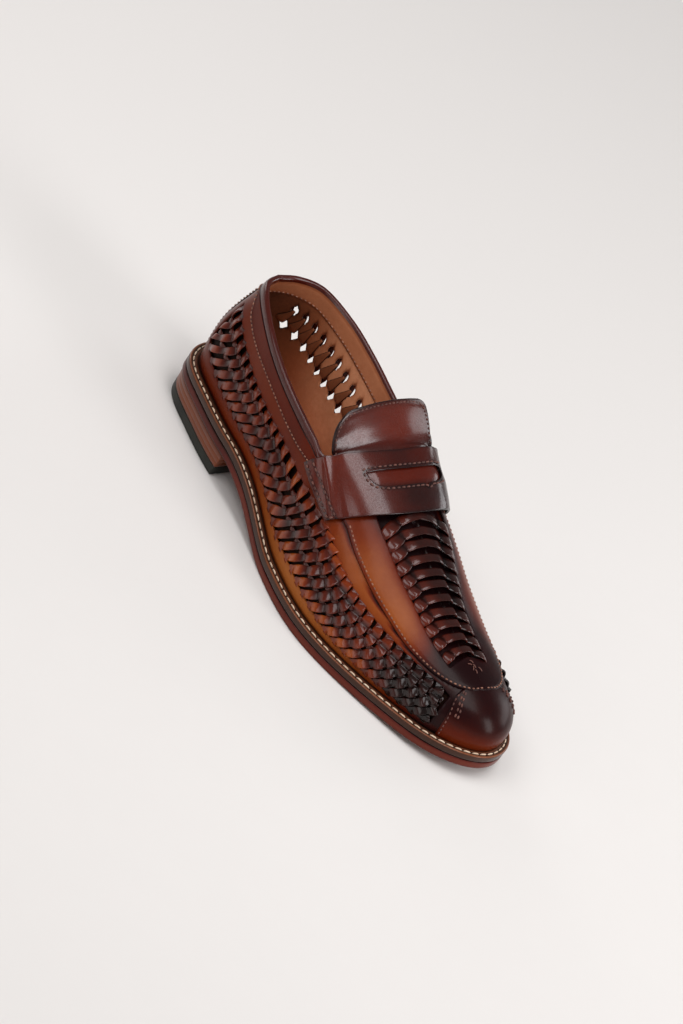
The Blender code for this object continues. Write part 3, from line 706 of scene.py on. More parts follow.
def weaveStrips(side):
    # strips cut from the panels, each standing over once a level, as a cosine, and dipping at the laces;
    # the part of a strip outside the band's ends is left out
    count, spill = rowCount[side], weave["spill"]
    first = np.arange(-3, count)[:, None] + weave["rootAt"]
    fine = np.linspace(-0.045, 1.03, 241)[None]
    row = stripRow(side, first, fine)
    inside = (row > -spill) & (row < count + spill)
    low = np.where(inside, fine, 9).min(1)
    high = np.where(inside, fine, -9).max(1)
    kept = high - low > weave["shortest"]
    first, low, high = first[kept], low[kept][:, None], high[kept][:, None]
    share = low + (high - low) * np.linspace(0, 1, weave["stations"])[None]
    row = np.clip(stripRow(side, first, share), -spill, count + spill)
    u = stationOf(side, row)
    levels = smoothTable(u, weave["levels"])
    level = share * levels
    wave = -np.cos(2 * np.pi * level)
    over = 0.5 + 0.5 * wave
    wanderLift, wanderWidth, wanderShade = weave["wander"]
    lift = weave["low"] + (weave["high"] - weave["low"]) * over**0.75
    lift = lift + wanderLift * np.sin(first * 4.1 + level * 1.9)
    # level with the panels at both ends, tucked under at the band's ends
    near = np.maximum(1 - rise(level, -0.05, 0.3), rise(level, levels - 0.3, levels + 0.05))
    lift = lift + (upperLift - weave["thickness"] / 2 + 0.02 - lift) * near
    atEnds = np.maximum(1 - rise(row, -spill, 0.5), rise(row, count - 0.5, count + spill))
    lift = lift - weave["tuck"] * atEnds
    here, ahead, _, out = wallFrame(side, u, weaveHeight(side, u, level))
    centre = here + out * lift[..., None]
    along, across, out = turnAlong(centre, out)
    # across the strip there is the room between rows, less what its lean takes
    lean = (along * unit(ahead)).sum(-1)
    half = weave["width"][side] * roomAt(side, u) / 2 * np.sqrt(np.clip(1 - lean**2, 0.2, 1))
    half = half * (1.02 + weave["swell"][side] * wave) * (1 + wanderWidth * np.sin(first * 2.4 + level))
    tilt = weave["tilt"][0] + (weave["tilt"][1] - weave["tilt"][0]) * over
    tilt = (np.radians(tilt) * (1 - 0.7 * near) * (1 if side == 0 else -1))[..., None]
    across, out = across * np.cos(tilt) + out * np.sin(tilt), out * np.cos(tilt) - across * np.sin(tilt)
    # painted shade where it dips, and darker towards the toe; worn pale at the foot; painted highlight at the
    # head beside waist and vamp
    shade = 0.6 - 0.16 * wave + wanderShade * np.sin(first * 5.3) + 0.45 * rise(u, 0.72, 0.84)
    footWear = (1 - rise(level, 0.2, 1.0)) * (1 - rise(u, 0.74, 0.84)) * (0.35 + 0.65 * rise(u, 0.3, 0.5))
    paintedHeadHighlight = rise(level, levels - 0.8, levels - 0.2) * (bell(u, 0.4, 0.1) + 0.8 * bell(u, 0.64, 0.12))
    shade = np.clip(shade - 0.44 * footWear - 0.3 * paintedHeadHighlight, 0, 1)
    return tubeAlong(centre, across, out, half, weave["thickness"] / 2, ringSection(12, 0.34), shade)


def weaveLaces(side):
    # laces along the shoe under the strips' dips, rising a little between two strips (cosine of the row)
    parts = []
    for k in weave["laceAt"][side]:
        u = np.linspace(weave["rear"] + 0.004, weave["front"] - 0.004, weave["laceStations"])
        u = u[smoothTable(u, weave["levels"]) > k + 0.25][None]
        # root row of the strip that would cross here: the row less the path's gain
        row = rowAt(side, u)
        root = row - (stripRow(side, row, k / smoothTable(u, weave["levels"])) - row)
        between = 0.5 + 0.5 * np.cos(2 * np.pi * (root - 0.05))
        lift = weave["laceLow"] + (weave["laceHigh"] - weave["laceLow"]) * between**1.5
        here, _, _, out = wallFrame(side, u, weaveHeight(side, u, k + 0 * u))
        centre = here + out * lift[..., None]
        _, across, out = turnAlong(centre, out)
        shade = 0.62 + 0.3 * rise(u, 0.7, 0.84)
        parts.append(tubeAlong(centre, across, out, weave["laceHalf"], weave["laceThick"],
                               ringSection(8, 0.5), shade))
    return joinParts(parts)


makePiece("weaveStrips", [weaveStrips(side) for side in (0, 1)], [wovenLeather])
makePiece("weaveLaces", [weaveLaces(side) for side in (0, 1)], [wovenLeather])
print("side weave:", rowCount, "rows")


# station where it starts and ends, how far it goes past the band's foot and head as wall height
behind = {"rear": 0.59, "front": 0.9, "below": 0.01, "above": 0.02, "lift": -2.1, "thickness": 0.4}


def vampShadeSheet(side):
    # dark sheet on the inside of the vamp behind the woven front, past the end of the slit lining: painted
    # shade seen through the weave's gaps
    u = np.linspace(behind["rear"], behind["front"], 90)[:, None]
    foot, head = bandAt(side, u)
    reach = head - foot + behind["below"] + behind["above"]
    v = foot - behind["below"] + reach * np.linspace(0, 1, 16)[None]
    return offWall(side, u, v, behind["lift"]), gridFaces(*v.shape, flip=side == 1), 0.5 + 0 * v


backing = makePiece("vampShadeSheet", [vampShadeSheet(side) for side in (0, 1)], [liningBackPaintedShade])
giveThickness(backing, behind["thickness"])


# upper: quarters and vamp in one shell with the weave bands left open

apron = {
    "start": 0.536, "lift": 1.5, "thickness": 1.2, "roll": 1.0, "openingRoll": 0.6,
    "crestLength": 290,                     # millimetres of the crest to a station of 1
    # opening of the centre weave: its ends; then station, width outwards and inwards of the crest
    "windowStart": 0.562, "windowEnd": 0.846,
    "window": ((.55, .225, .29), (.62, .235, .275), (.66, .245, .235), (.7, .25, .19), (.76, .268, .185),
               (.81, .272, .205), (.85, .27, .21)),
    "shade": ((.53, .56), (.575, .46), (.61, .33), (.66, .26), (.73, .24), (.77, .42), (.81, .75), (.85, .92),
              (1, .97)),
}

upper = {
    "columns": 321, "thickness": 1.7, "roll": 0.7,
    # depth of the upper under the apron's opening, and of the groove along the apron's seam
    "windowDrop": 1.9, "grooveDrop": 0.4,
    # shade of the panels above and below the band: station, shade
    "base": ((0, .6), (.1, .52), (.2, .5), (.3, .5), (.42, .52), (.5, .46), (.56, .37), (.62, .25), (.7, .28),
             (.78, .46), (.86, .82), (.92, 1), (1, 1)),
    "lowerBase": ((0, .68), (.1, .54), (.25, .4), (.38, .2), (.46, .04), (.6, .0), (.7, .06), (.8, .26),
                  (.86, .56), (.92, .9), (1, .9)),
    # soft creases: station, height up the wall, reach along, reach up, depth in millimetres
    "creases": ((.3, .78, .03, .1, -.35), (.36, .8, .025, .09, .3), (.62, .48, .015, .06, -.22),
                (.68, .5, .015, .06, .2), (.2, .82, .03, .1, .25), (.56, .5, .012, .05, -.2)),
}


def creaseLift(u, v):
    # sum of soft troughs and ridges, each a bell along and up the wall
    return sum(depth * bell(u, atU, alongU) * bell(v, atV, upV)
               for atU, atV, alongU, upV, depth in upper["creases"])


def windowDepth(side, u, v):
    # 1 inside the opening of the vamp's centre weave, 0 outside
    top = 1 - smoothTable(u, apron["window"], 1 + side)
    return (rise(v, top - 0.03, top) * rise(u, apron["windowStart"] - 0.01, apron["windowStart"])
            * (1 - rise(u, apron["windowEnd"], apron["windowEnd"] + 0.01)))


def upperPart(side):
    # three grids up the wall: lower panel, band (left out between the band's ends) and upper panel
    u = np.unique(np.r_[np.linspace(0, 1, upper["columns"]), weave["rear"], weave["front"]])[:, None]
    foot, head = bandAt(side, u)
    nearFoot = np.r_[0, .25, .5, .7, .84, .92, .96, .985, 1]
    nearHead = np.r_[0, .006, .014, .026, .045, .08, .12, np.linspace(.17, 1, 15)]
    sections = (foot * nearFoot[None], foot + (head - foot) * np.linspace(0, 1, 13)[None],
                head + (1 - head) * nearHead[None])
    wall = wallAt(side, u, np.linspace(0, 1, 21)[None])
    wallLength = np.linalg.norm(np.diff(wall, axis=1), axis=-1).sum(1)[:, None]
    parts = []
    for k, v in enumerate(sections):
        uu = np.broadcast_to(u, v.shape)
        toEnd = np.minimum(np.abs(uu - weave["rear"]), np.abs(uu - weave["front"])) * weave["edgeLength"]
        inBand = (uu > weave["rear"]) & (uu < weave["front"])
        toBand = (foot - v, 0 * v, v - head)[k] * wallLength
        away = np.where(inBand, np.abs(toBand), np.hypot(toBand, toEnd))
        toApron = (smoothTable(uu, last["apronSeam"]) - v) * wallLength
        onVamp = uu > 0.53
        sunk = windowDepth(side, uu, v)
        lift = (upperLift - edgeRoll(away, upper["roll"]) + creaseLift(uu, v) - upper["windowDrop"] * sunk
                - upper["grooveDrop"] * bell(toApron, 0.1, 0.5) * onVamp)
        # darker at the band's edges; painted shade at the foot by the welt, under the collar, in the opening
        # and in the groove along the apron's seam
        shade = smoothTable(uu, upper["lowerBase" if k == 0 else "base"]) + 0.16 * np.exp(-away / 1.6)
        shade = shade + 0.25 * np.exp(-v * wallLength / 1.2) + 0.14 * rise(v, 0.84, 1) * (uu < 0.5) + sunk
        shade = shade + 0.7 * bell(toApron, 0.2, 0.65) * onVamp
        faces = gridFaces(*v.shape, flip=side == 1)
        if k == 1:
            middle = ((u[:-1] + u[1:]) / 2)[:, 0]
            shut = (middle < weave["rear"]) | (middle > weave["front"])
            faces = faces[np.repeat(shut, v.shape[1] - 1)]
        parts.append((offWall(side, uu, v, lift), faces, np.clip(shade, 0, 1)))
    return parts


upperShell = makePiece("upperShell", upperPart(0) + upperPart(1),
                       [burnishedLeather, liningLeather, burnishedLeather],
                       stands=("upper",))
giveThickness(upperShell, upper["thickness"], inside=1, rim=2)


# lining: a sheet inside each wall; the inner side's has two rows of openings between the strips' backs

lining = {
    # lattice cells to a row and to a level, its last level, strips of cells added above and below it
    "lift": -1.75, "thickness": 0.6, "cells": 8, "highest": 3.5, "extra": 5,
    "front": 0.62, "lastHole": 0.47,        # stations of the lining's end and of the last opening
    # levels of the two rows of openings, rows gained from one to the other: outer side, inner side
    "holes": (1.5, 2.55), "gain": (0.68, 0.22),
    # half an opening along and up, in rows and levels, how far its corners are drawn out, collar's facing
    "halfAlong": 0.25, "halfUp": 0.25, "spread": 1.3, "facing": 11.0,
    "strapHalf": 0.34, "strapThick": 0.24, "strapLift": -2.75,
    # a dark strap under a brown one, the dark one painted shade along its edges: extra half width, lift,
    # shade
    "straps": ((0.34, 0.0, 1.0), (0.0, -0.22, 0.72)),
}


def topScale(side, u):
    # millimetres of wall per unit of height near the top
    return np.linalg.norm(wallAt(side, u, 0.999) - wallAt(side, u, 0.8), axis=-1) / 0.199


def nearestHole(up):
    # level of the closer row of openings
    return np.where(up < sum(lining["holes"]) / 2, *lining["holes"])


def hasHole(side, along):
    # there are openings from the first row on, as far as the last one's station
    return (np.round(along) >= 1) & (stationOf(side, np.round(along)) < lining["lastHole"])


def liningRow(side, along, up):
    # row on the wall of a lattice place: straight lines up the lattice join the two rows of openings
    low, high = lining["holes"]
    return along - 0.1 + lining["gain"][side] * np.clip(up - low, -0.6, high - low + 0.2) / (high - low)


def liningPart(side):
    # columns and levels of a lattice that follows the gaps between the strips; cells are left out at the
    # openings and their rims drawn in to a diamond: the sum of the two offsets replaces the larger of them
    cells, extra, firstRow = lining["cells"], lining["extra"], rowLine[side][0]
    column = np.arange(int(np.floor(firstRow)) * cells, int(rowAt(side, lining["front"]) * cells) + 1) / cells
    level = np.arange(0, int(lining["highest"] * cells) + 1) / cells
    along, up = np.meshgrid(column, level, indexing="ij")
    offAlong, offUp = along - np.round(along), up - nearestHole(up)
    a, b = np.abs(offAlong) / lining["halfAlong"], np.abs(offUp) / lining["halfUp"]
    larger, total = np.maximum(a, b), np.maximum(a + b, 1e-6)
    holed = hasHole(side, along)
    pull = np.clip(2 - larger, 0, 1)
    factor = np.where(holed & (larger > 0.01), 1 + pull * (larger * lining["spread"] / total - 1), 1.0)
    spot = bell(offAlong, 0, 0.22) * bell(offUp, 0, 0.22) * holed
    along, up = along + offAlong * (factor - 1), up + offUp * (factor - 1)
    u = stationOf(side, np.maximum(liningRow(side, along, up), firstRow))
    v = weaveHeight(side, u, up * smoothTable(u, weave["levels"]) / 3)
    # added cells: down to the feather line, and up to the collar's facing
    share = np.linspace(0, 1, extra + 1)[None]
    facing = 1 - lining["facing"] / topScale(side, u[:, -1:])
    v = np.concatenate([v[:, :1] * share[:, :-1], v,
                        v[:, -1:] + np.maximum(facing - v[:, -1:], 0.01) * share[:, 1:]], 1)
    u = np.concatenate([np.repeat(u[:, :1], extra, 1), u, np.repeat(u[:, -1:], extra, 1)], 1)
    # a cell is left out when its middle lies in an opening
    alongMid = column[0] + (np.arange(len(column) - 1)[:, None] + 0.5) / cells
    upMid = (np.arange(v.shape[1] - 1)[None] - extra + 0.5) / cells
    gone = ((np.abs(alongMid - np.round(alongMid)) < lining["halfAlong"])
            & (np.abs(upMid - nearestHole(upMid)) < lining["halfUp"]) & hasHole(side, alongMid) & (side == 1))
    # painted shade: dark at the heel and past the throat, paler towards the front of the opening, and dark
    # round the openings, which on the outer side are dark spots with no cells left out
    shade = 0.22 + 0.7 * (1 - rise(u, 0.02, 0.24)) - 0.15 * rise(u, 0.3, 0.42) + 0.3 * rise(u, 0.46, 0.58)
    shade = shade + np.pad(spot, ((0, 0), (extra, extra)))
    faces = gridFaces(*v.shape, flip=side == 1)[~gone.reshape(-1)]
    return offWall(side, u, v, lining["lift"]), faces, np.clip(shade, 0, 1)


def liningStraps(side):
    # backs of the strips between the openings: each tapers from the lower row to a point at the upper one,
    # its ends nearer the wall than its middle by a fourth power
    along = np.arange(1, int(rowAt(side, lining["lastHole"])))[:, None].astype(float)
    share = np.linspace(0, 1, 19)[None]
    low, high = lining["holes"]
    up = low + 0.05 + (high - low - 0.1) * share
    u = stationOf(side, liningRow(side, along - 0.5 + 0.5 * share, up))
    here, _, _, out = wallFrame(side, u, weaveHeight(side, u, up * smoothTable(u, weave["levels"]) / 3))
    taper = (1 - 0.8 * share**1.3) * np.clip(share * 9 + 0.15, 0, 1) ** 0.5
    parts = []
    # each strip twice: a wider dark one under, painted shade along the edges, and the brown one
    for wider, lift, shade in lining["straps"]:
        centre = here + out * (lining["strapLift"] + lift + 0.7 * (2 * share[..., None] - 1) ** 4)
        _, across, outward = turnAlong(centre, out)
        half = roomAt(side, u) * lining["strapHalf"] * taper + wider
        parts.append(tubeAlong(centre, across, outward, half, lining["strapThick"], ringSection(8, 0.6),
                               shade))
    return joinParts(parts)


innerLining = makePiece("innerLining", [liningPart(0), liningPart(1)], [liningBackPaintedShade, liningLeather])
giveThickness(innerLining, lining["thickness"], inside=1, rim=1)
makePiece("liningLaces", [liningStraps(0), liningStraps(1)], [liningLeather])
print("upper and lining made")


# toe piece and back stay

toe = {
    "seam": ((0, .908), (.3, .904), (.56, .898), (.7, .905), (.9, .91)),   # wall height, station
    "under": 0.02,                          # how far it goes under the apron, as wall height
    "lift": 0.95, "thickness": 0.9, "roll": 0.7,
}


def toePart(side):
    # from the seam line forward, under the apron at the top: stations come from about the right heights first
    t = np.r_[0, .004, .01, .02, .035, .06, np.linspace(.1, 1, 40)][:, None]
    share = np.linspace(0, 1, 41)[None]
    about = share * (0.62 + 0.27 * rise(t, 0, 0.75))
    u = smoothTable(about, toe["seam"]) * (1 - t) + t
    v = share * (smoothTable(u, last["apronSeam"]) + toe["under"])
    away = np.maximum((u - smoothTable(v, toe["seam"])) * weave["edgeLength"], 0)
    lift = toe["lift"] - edgeRoll(away, toe["roll"])
    shade = 0.95 + 0.1 * np.exp(-away / 1.2) - 0.4 * (1 - rise(v, 0.05, 0.4))
    return offWall(side, u, v, lift), gridFaces(*v.shape, flip=side == 1), np.clip(shade, 0, 1)


toePiece = makePiece("toePiece", [toePart(0), toePart(1)], [burnishedLeather])
giveThickness(toePiece, toe["thickness"])

backStay = {
    # how far up the wall it goes; wall height, station of its edge
    "top": 0.88, "halfWidth": ((0, .036), (.3, .028), (.6, .024), (.9, .03)),
    "lift": 1.05, "thickness": 0.9, "roll": 0.7,
}


def backStayPart(side):
    # from the heel's middle line to its edge
    v = np.r_[0, np.linspace(0.01, 1, 40)][None] * backStay["top"]
    share = np.r_[np.linspace(0, .84, 8), .9, .94, .97, .985, 1][:, None]
    width = smoothTable(v, backStay["halfWidth"])
    u = share * width
    away = (width - u) * weave["edgeLength"]
    lift = backStay["lift"] - edgeRoll(away, backStay["roll"])
    shade = 0.9 + 0.1 * np.exp(-away / 1.5)
    return offWall(side, u, v, lift), gridFaces(*u.shape, flip=side == 1), shade


stay = makePiece("backStay", [backStayPart(0), backStayPart(1)], [burnishedLeather])
giveThickness(stay, backStay["thickness"])


# collar band: seam, band, binding groove, rolled topline and inner facing in one profile

collar = {
    "seam": ((0, .885), (.1, .88), (.12, .82), (.145, .792), (.25, .788), (.34, .795), (.38, .815),
             (.42, .845), (.46, .87), (.48, .9)),
    "end": 0.472, "columns": 190, "lift": 1.05, "roll": 0.7,
    "fade": (0.435, 0.47),                  # stations over which it thins out under the strap
    "bandEnd": 5.0,                         # distance below the topline where the band meets the binding
    # distance below the topline and lift of the binding, with its groove; then bearings over the rolled edge
    "binding": ((4.5, 1.05), (4.15, .98), (3.95, .62), (3.75, .58), (3.5, .85), (3.1, 1.1), (2.4, 1.18),
                (1.6, 1.2), (.9, 1.15)),
    "groove": (3.6, 4.3),
    "over": (70, 45, 20, -10, -40, -65, -85), "overRadius": (0.3, 1.1), "overBack": 0.35,
    # the same for the facing inside
    "facing": ((1.0, -2.5), (2.5, -2.75), (4, -2.8), (6, -2.8), (8, -2.8), (10, -2.8), (11.4, -2.8),
               (11.9, -2.65), (12, -2.2)),
}


def collarPart(side):
    # columns down the wall from the band's seam, over the rolled edge and down the facing, as three sheets
    u = np.linspace(0, collar["end"], collar["columns"])[:, None]
    scale = topScale(side, u)
    fade = 1 - rise(u, *collar["fade"])
    band = (1 - smoothTable(u, collar["seam"])) * scale
    share = np.r_[0, .015, .04, .08, np.linspace(.14, .94, 9)][None]
    down = band + (collar["bandEnd"] - band) * share
    raised = collar["lift"] - upperLift - edgeRoll(band - down, collar["roll"])
    raised = raised + 0.12 * bell(down, band - 2.4, 1.0)
    parts = [offWall(side, u, 1 - down / scale, upperLift + raised * fade)]
    shades = [0.6 + 0.3 * np.exp(-(band - down) / 1.2) + 0.12 * (1 - rise(u, 0.05, 0.2))]
    # the binding, with painted shade in its groove
    for distance, height in collar["binding"]:
        parts.append(offWall(side, u, 1 - distance / scale, upperLift + (height - upperLift) * fade))
        shades.append(np.full(u.shape, 0.95 if collar["groove"][0] < distance < collar["groove"][1] else 0.6))
    beadStart = share.shape[1] + 5
    here, _, up, out = wallFrame(side, u, np.full(u.shape, 1.0))
    thin, full = collar["overRadius"]
    radius = (thin + (full - thin) * fade)[..., None]
    back = collar["overBack"]
    for angle in np.radians(collar["over"]):
        parts.append(here + out * ((radius + back) * np.sin(angle) - back * (1 + (angle < 0)))
                     + up * (radius * np.cos(angle)))
        shades.append(np.full(u.shape, 0.6))
    for distance, height in collar["facing"]:
        parts.append(offWall(side, u, 1 - distance / scale, height))
        shades.append(np.full(u.shape, 0.7 if distance < 1.5 or distance > 11 else 0.42))
    points, shade = np.concatenate(parts, 1), np.clip(np.concatenate(shades, 1), 0, 1)
    # the sheets share their border columns: band and groove, bead over the edge, facing
    cuts = (0, beadStart, points.shape[1] - len(collar["facing"]), points.shape[1] - 1)
    return [(points[:, a:b + 1], gridFaces(len(u), b + 1 - a, flip=side == 1), shade[:, a:b + 1])
            for a, b in zip(cuts, cuts[1:])]


bands, beads, facings = zip(collarPart(0), collarPart(1))
makePiece("collarBand", bands, [burnishedLeather])
makePiece("collarBead", beads, [oxbloodLeather])
makePiece("collarFacing", facings, [liningLeather])
print("toe piece, back stay and collar made")


# apron: raised panel with rolled seam and the opening for its weave

def apronPart(side):
    # two grids: the margin from the seam to the opening, and the middle, left out in the opening
    sign = -1 if side == 0 else 1
    rear, front = apron["windowStart"], apron["windowEnd"]
    u = np.unique(np.r_[np.linspace(apron["start"], 1, 190), rear, front])[:, None]
    seam = smoothTable(u, last["apronSeam"])
    opening = np.maximum(1 - smoothTable(u, apron["window"], 1 + side), seam + (1 - seam) * 0.2)
    across = (np.linalg.norm(wallAt(side, u, 0.999) - wallAt(side, u, seam), axis=-1)
              / np.maximum(0.999 - seam, 1e-3))
    share = np.r_[0, .008, .02, .035, .055, .08, .12, .17, np.linspace(.25, .9, 9), .95, .975, .99, 1]
    margin = seam + (opening - seam) * share[None]
    middle = opening + (1 - opening) * np.linspace(0, 1, 13)[None]
    parts = []
    for k, v in enumerate((margin, middle)):
        uu = np.broadcast_to(u, v.shape)
        toSeam = (v - seam) * across
        toEnd = np.minimum(np.abs(uu - rear), np.abs(uu - front)) * apron["crestLength"]
        beside = (opening - v) * across
        toOpening = np.where((uu > rear) & (uu < front), np.abs(beside),
                             np.hypot(np.clip(beside, 0, None), toEnd))
        # rolled edges, a slight swelling and a crease along the seam
        lift = (apron["lift"] - edgeRoll(toSeam, apron["roll"]) - edgeRoll(toOpening, apron["openingRoll"])
                + 0.06 * bell(toSeam, 3.2, 1.5) - 0.1 * bell(toSeam, 1.9, 0.4))
        # painted shade in the seam, under its stitches and on the inner side's far part; dark round the
        # opening
        shade = (smoothTable(uu, apron["shade"]) + 0.5 * np.exp(-toSeam / 0.35)
                 + 0.3 * bell(toSeam, 1.25, 0.5) + 0.45 * np.exp(-toOpening / 3.0)
                 + 0.4 * rise(v, 0.5, 0.75) * side)
        faces = gridFaces(*v.shape, flip=side == 1)
        if k == 1:
            between = ((u[:-1] + u[1:]) / 2)[:, 0]
            faces = faces[np.repeat((between < rear) | (between > front), v.shape[1] - 1)]
        parts.append((offVamp(uu, sign * (1 - v), lift), faces, np.clip(shade, 0, 1)))
    return parts


apronPanel = makePiece("apronPanel", apronPart(0) + apronPart(1), [burnishedLeather],
                       stands=("apron",))
giveThickness(apronPanel, apron["thickness"])

rows = {
    "count": 11, "firstX": 135.5, "pitch": 7.45, "halfWidth": 3.25, "thickness": 1.3,
    # station, fold outwards and inwards of the crest, as wall height
    "fold": ((.56, .115, .19), (.6, .12, .16), (.64, .142, .12), (.68, .155, .085), (.72, .16, .065),
             (.76, .168, .06), (.8, .16, .072), (.85, .156, .09)),
    # raised toe edge in degrees; stations that a strap runs on across the vamp and at its ends; unevenness
    "tilt": 15.0, "skew": 0.006, "leftDrop": 0.013, "rightDrop": 0.01, "wander": 0.0015,
    "under": 0.012,                         # how far its ends go under the opening's edge, as wall height
    "bend": 0.2,                            # path place of the fold
    # share of the way from the crest to the fold: height, width, shade; the shade is painted lighter on the
    # slope down to the fold and darker in its dip
    "flat": ((0, 2.75, .8, .8), (.4, 2.72, .8, .78), (.55, 2.6, .82, .72), (.68, 2.2, .88, .62),
             (.85, 1.35, .95, .62), (1, .6, .95, .9)),
    # path place from the fold to the opening's edge: height, width, shade; the shade is painted darker in the
    # dip at the fold and where it goes under the edge
    "leaf": ((.2, .6, .9, .95), (.34, 1.35, 1.05, .78), (.55, 2.15, 1.12, .64), (.78, 1.9, 1.02, .56),
             (.93, .8, .85, .6), (1, .0, .7, .8)),
}


def stationAtCrest(x):
    # the crest's x is a quarter sine of the station: its inverse
    start, end = last["crest"][0][0], last["crest"][-1][0]
    return 0.5 + np.arcsin(np.clip((x - start) / (end - start), -1, 1)) / np.pi


def rowStraps():
    # one strap a row from side to side: a leaf rising from the opening's edge, a fold, a raised flat middle,
    # and back; each is tilted so that its toe edge stands over the next
    count, bend = rows["count"], rows["bend"]
    u0 = stationAtCrest(rows["firstX"] + rows["pitch"] * np.arange(count) - 3.0)[:, None]
    outer, inner = (smoothTable(u0, apron["window"], k) + rows["under"] for k in (1, 2))
    foldOut, foldIn = (smoothTable(u0, rows["fold"], k) for k in (1, 2))
    # path places: 1 at the edge of the opening down to the bend at the fold, then shares of the middle
    side = np.linspace(1, 0, 29)
    side = side[side > bend - 1e-9]
    middle = np.linspace(-1, 1, 15)[None, 1:-1]
    outside = foldOut + (outer - foldOut) * (side - bend) / (1 - bend)
    inside = foldIn + (inner - foldIn) * (side - bend) / (1 - bend)
    w = np.concatenate([-outside, middle * np.where(middle < 0, foldOut, foldIn), inside[:, ::-1]], 1)
    leaf, flat = (np.array([smoothTable(at, rows[key], k) for k in (1, 2, 3)])
                  for key, at in (("leaf", side), ("flat", np.abs(middle[0]))))
    lift, width, shade = np.concatenate([leaf, flat, leaf[:, ::-1]], 1)[:, None]
    # stations: skewed across the vamp, the ends dropping towards the toe, a little uneven from strap to strap
    beyond = np.where(w < 0, (-w - foldOut) / (outer - foldOut), (w - foldIn) / (inner - foldIn))
    drop = np.where(w < 0, rows["leftDrop"], rows["rightDrop"]) * np.clip(beyond, 0, 1)
    uneven = rows["wander"] * np.sin(np.arange(count) * 2.1)[:, None]
    u = u0 + rows["skew"] * w / 0.2 + drop + uneven
    here, along, _, out = vampFrame(u, w)
    centre = here + out * lift[..., None]
    run = unit(np.gradient(centre, axis=1))
    ahead = unit(np.cross(out, run))
    ahead = ahead * np.sign((ahead * along).sum(-1, keepdims=True))
    out = unit(np.cross(run, ahead))
    out = out * np.sign(out[..., 2:])
    tilt = np.radians(rows["tilt"])
    ahead, out = ahead * np.cos(tilt) + out * np.sin(tilt), out * np.cos(tilt) - ahead * np.sin(tilt)
    # narrower and darker at the toe; painted shade towards the inner side
    half = rows["halfWidth"] * width * (1 - 0.12 * rise(u0, 0.78, 0.84))
    shade = shade + 0.16 * rise(w, 0.02, 0.1) + 0.1 * rise(u0, 0.8, 0.86)
    return tubeAlong(centre, ahead, out, half, rows["thickness"] / 2, ringSection(10, 0.5),
                     np.clip(shade, 0, 1))


makePiece("apronWeave", [rowStraps()], [wovenLeather])
print("apron made")


# strap and tongue, bent round a straight line inside the instep

instep = {
    "axisY": 4.0, "axisZ": 40.0, "stations": (0.36, 0.72),
    # cells of the field: first x and how many, first bearing, its step in degrees and how many
    "firstX": 75, "alongCells": 75, "firstBearing": -96, "bearingStep": 2, "aroundCells": 97,
}


def cellOf(x, bearing):
    # place in the field's cells, x in steps of a millimetre
    return x - instep["firstX"], (bearing - instep["firstBearing"]) / instep["bearingStep"]


def instepField():
    # distance of the upper from the instep line in cells of x and bearing: mean of fine samples in each cell
    u, v = np.linspace(*instep["stations"], 520)[:, None], np.linspace(0, 1, 420)[None]
    points = np.concatenate([wallAt(side, u, v).reshape(-1, 3) for side in (0, 1)])
    dy, dz = points[:, 1] - instep["axisY"], points[:, 2] - instep["axisZ"]
    radius, bearing = np.hypot(dy, dz), np.degrees(np.arctan2(dy, dz))
    i, j = (np.round(place).astype(int) for place in cellOf(points[:, 0], bearing))
    size = instep["alongCells"], instep["aroundCells"]
    good = (i >= 0) & (i < size[0]) & (j >= 0) & (j < size[1])
    cell = i[good] * size[1] + j[good]
    total = np.bincount(cell, radius[good], size[0] * size[1])
    count = np.bincount(cell, minlength=size[0] * size[1])
    field = np.where(count > 0, total / np.maximum(count, 1), np.nan).reshape(size)
    line = np.arange(size[1])
    for row in field:
        known = ~np.isnan(row)
        row[:] = np.interp(line, line[known], row[known])
    return field


field = instepField()


def bilinear(grid, x, y):
    # grid value between its four neighbours
    x = np.clip(x, 0, grid.shape[0] - 1.001)
    y = np.clip(y, 0, grid.shape[1] - 1.001)
    i, j = x.astype(int), y.astype(int)
    a, b = x - i, y - j
    return ((grid[i, j] * (1 - a) + grid[i + 1, j] * a) * (1 - b)
            + (grid[i, j + 1] * (1 - a) + grid[i + 1, j + 1] * a) * b)


def underRadius(x, bearing):
    # distance of the upper from the instep line
    return bilinear(field, *cellOf(x, bearing))


def aroundInstep(x, bearing, radius):
    # point at a bearing from straight up and a radius round the instep line
    a = np.radians(bearing)
    return np.stack([x, instep["axisY"] + radius * np.sin(a), instep["axisZ"] + radius * np.cos(a)], -1)


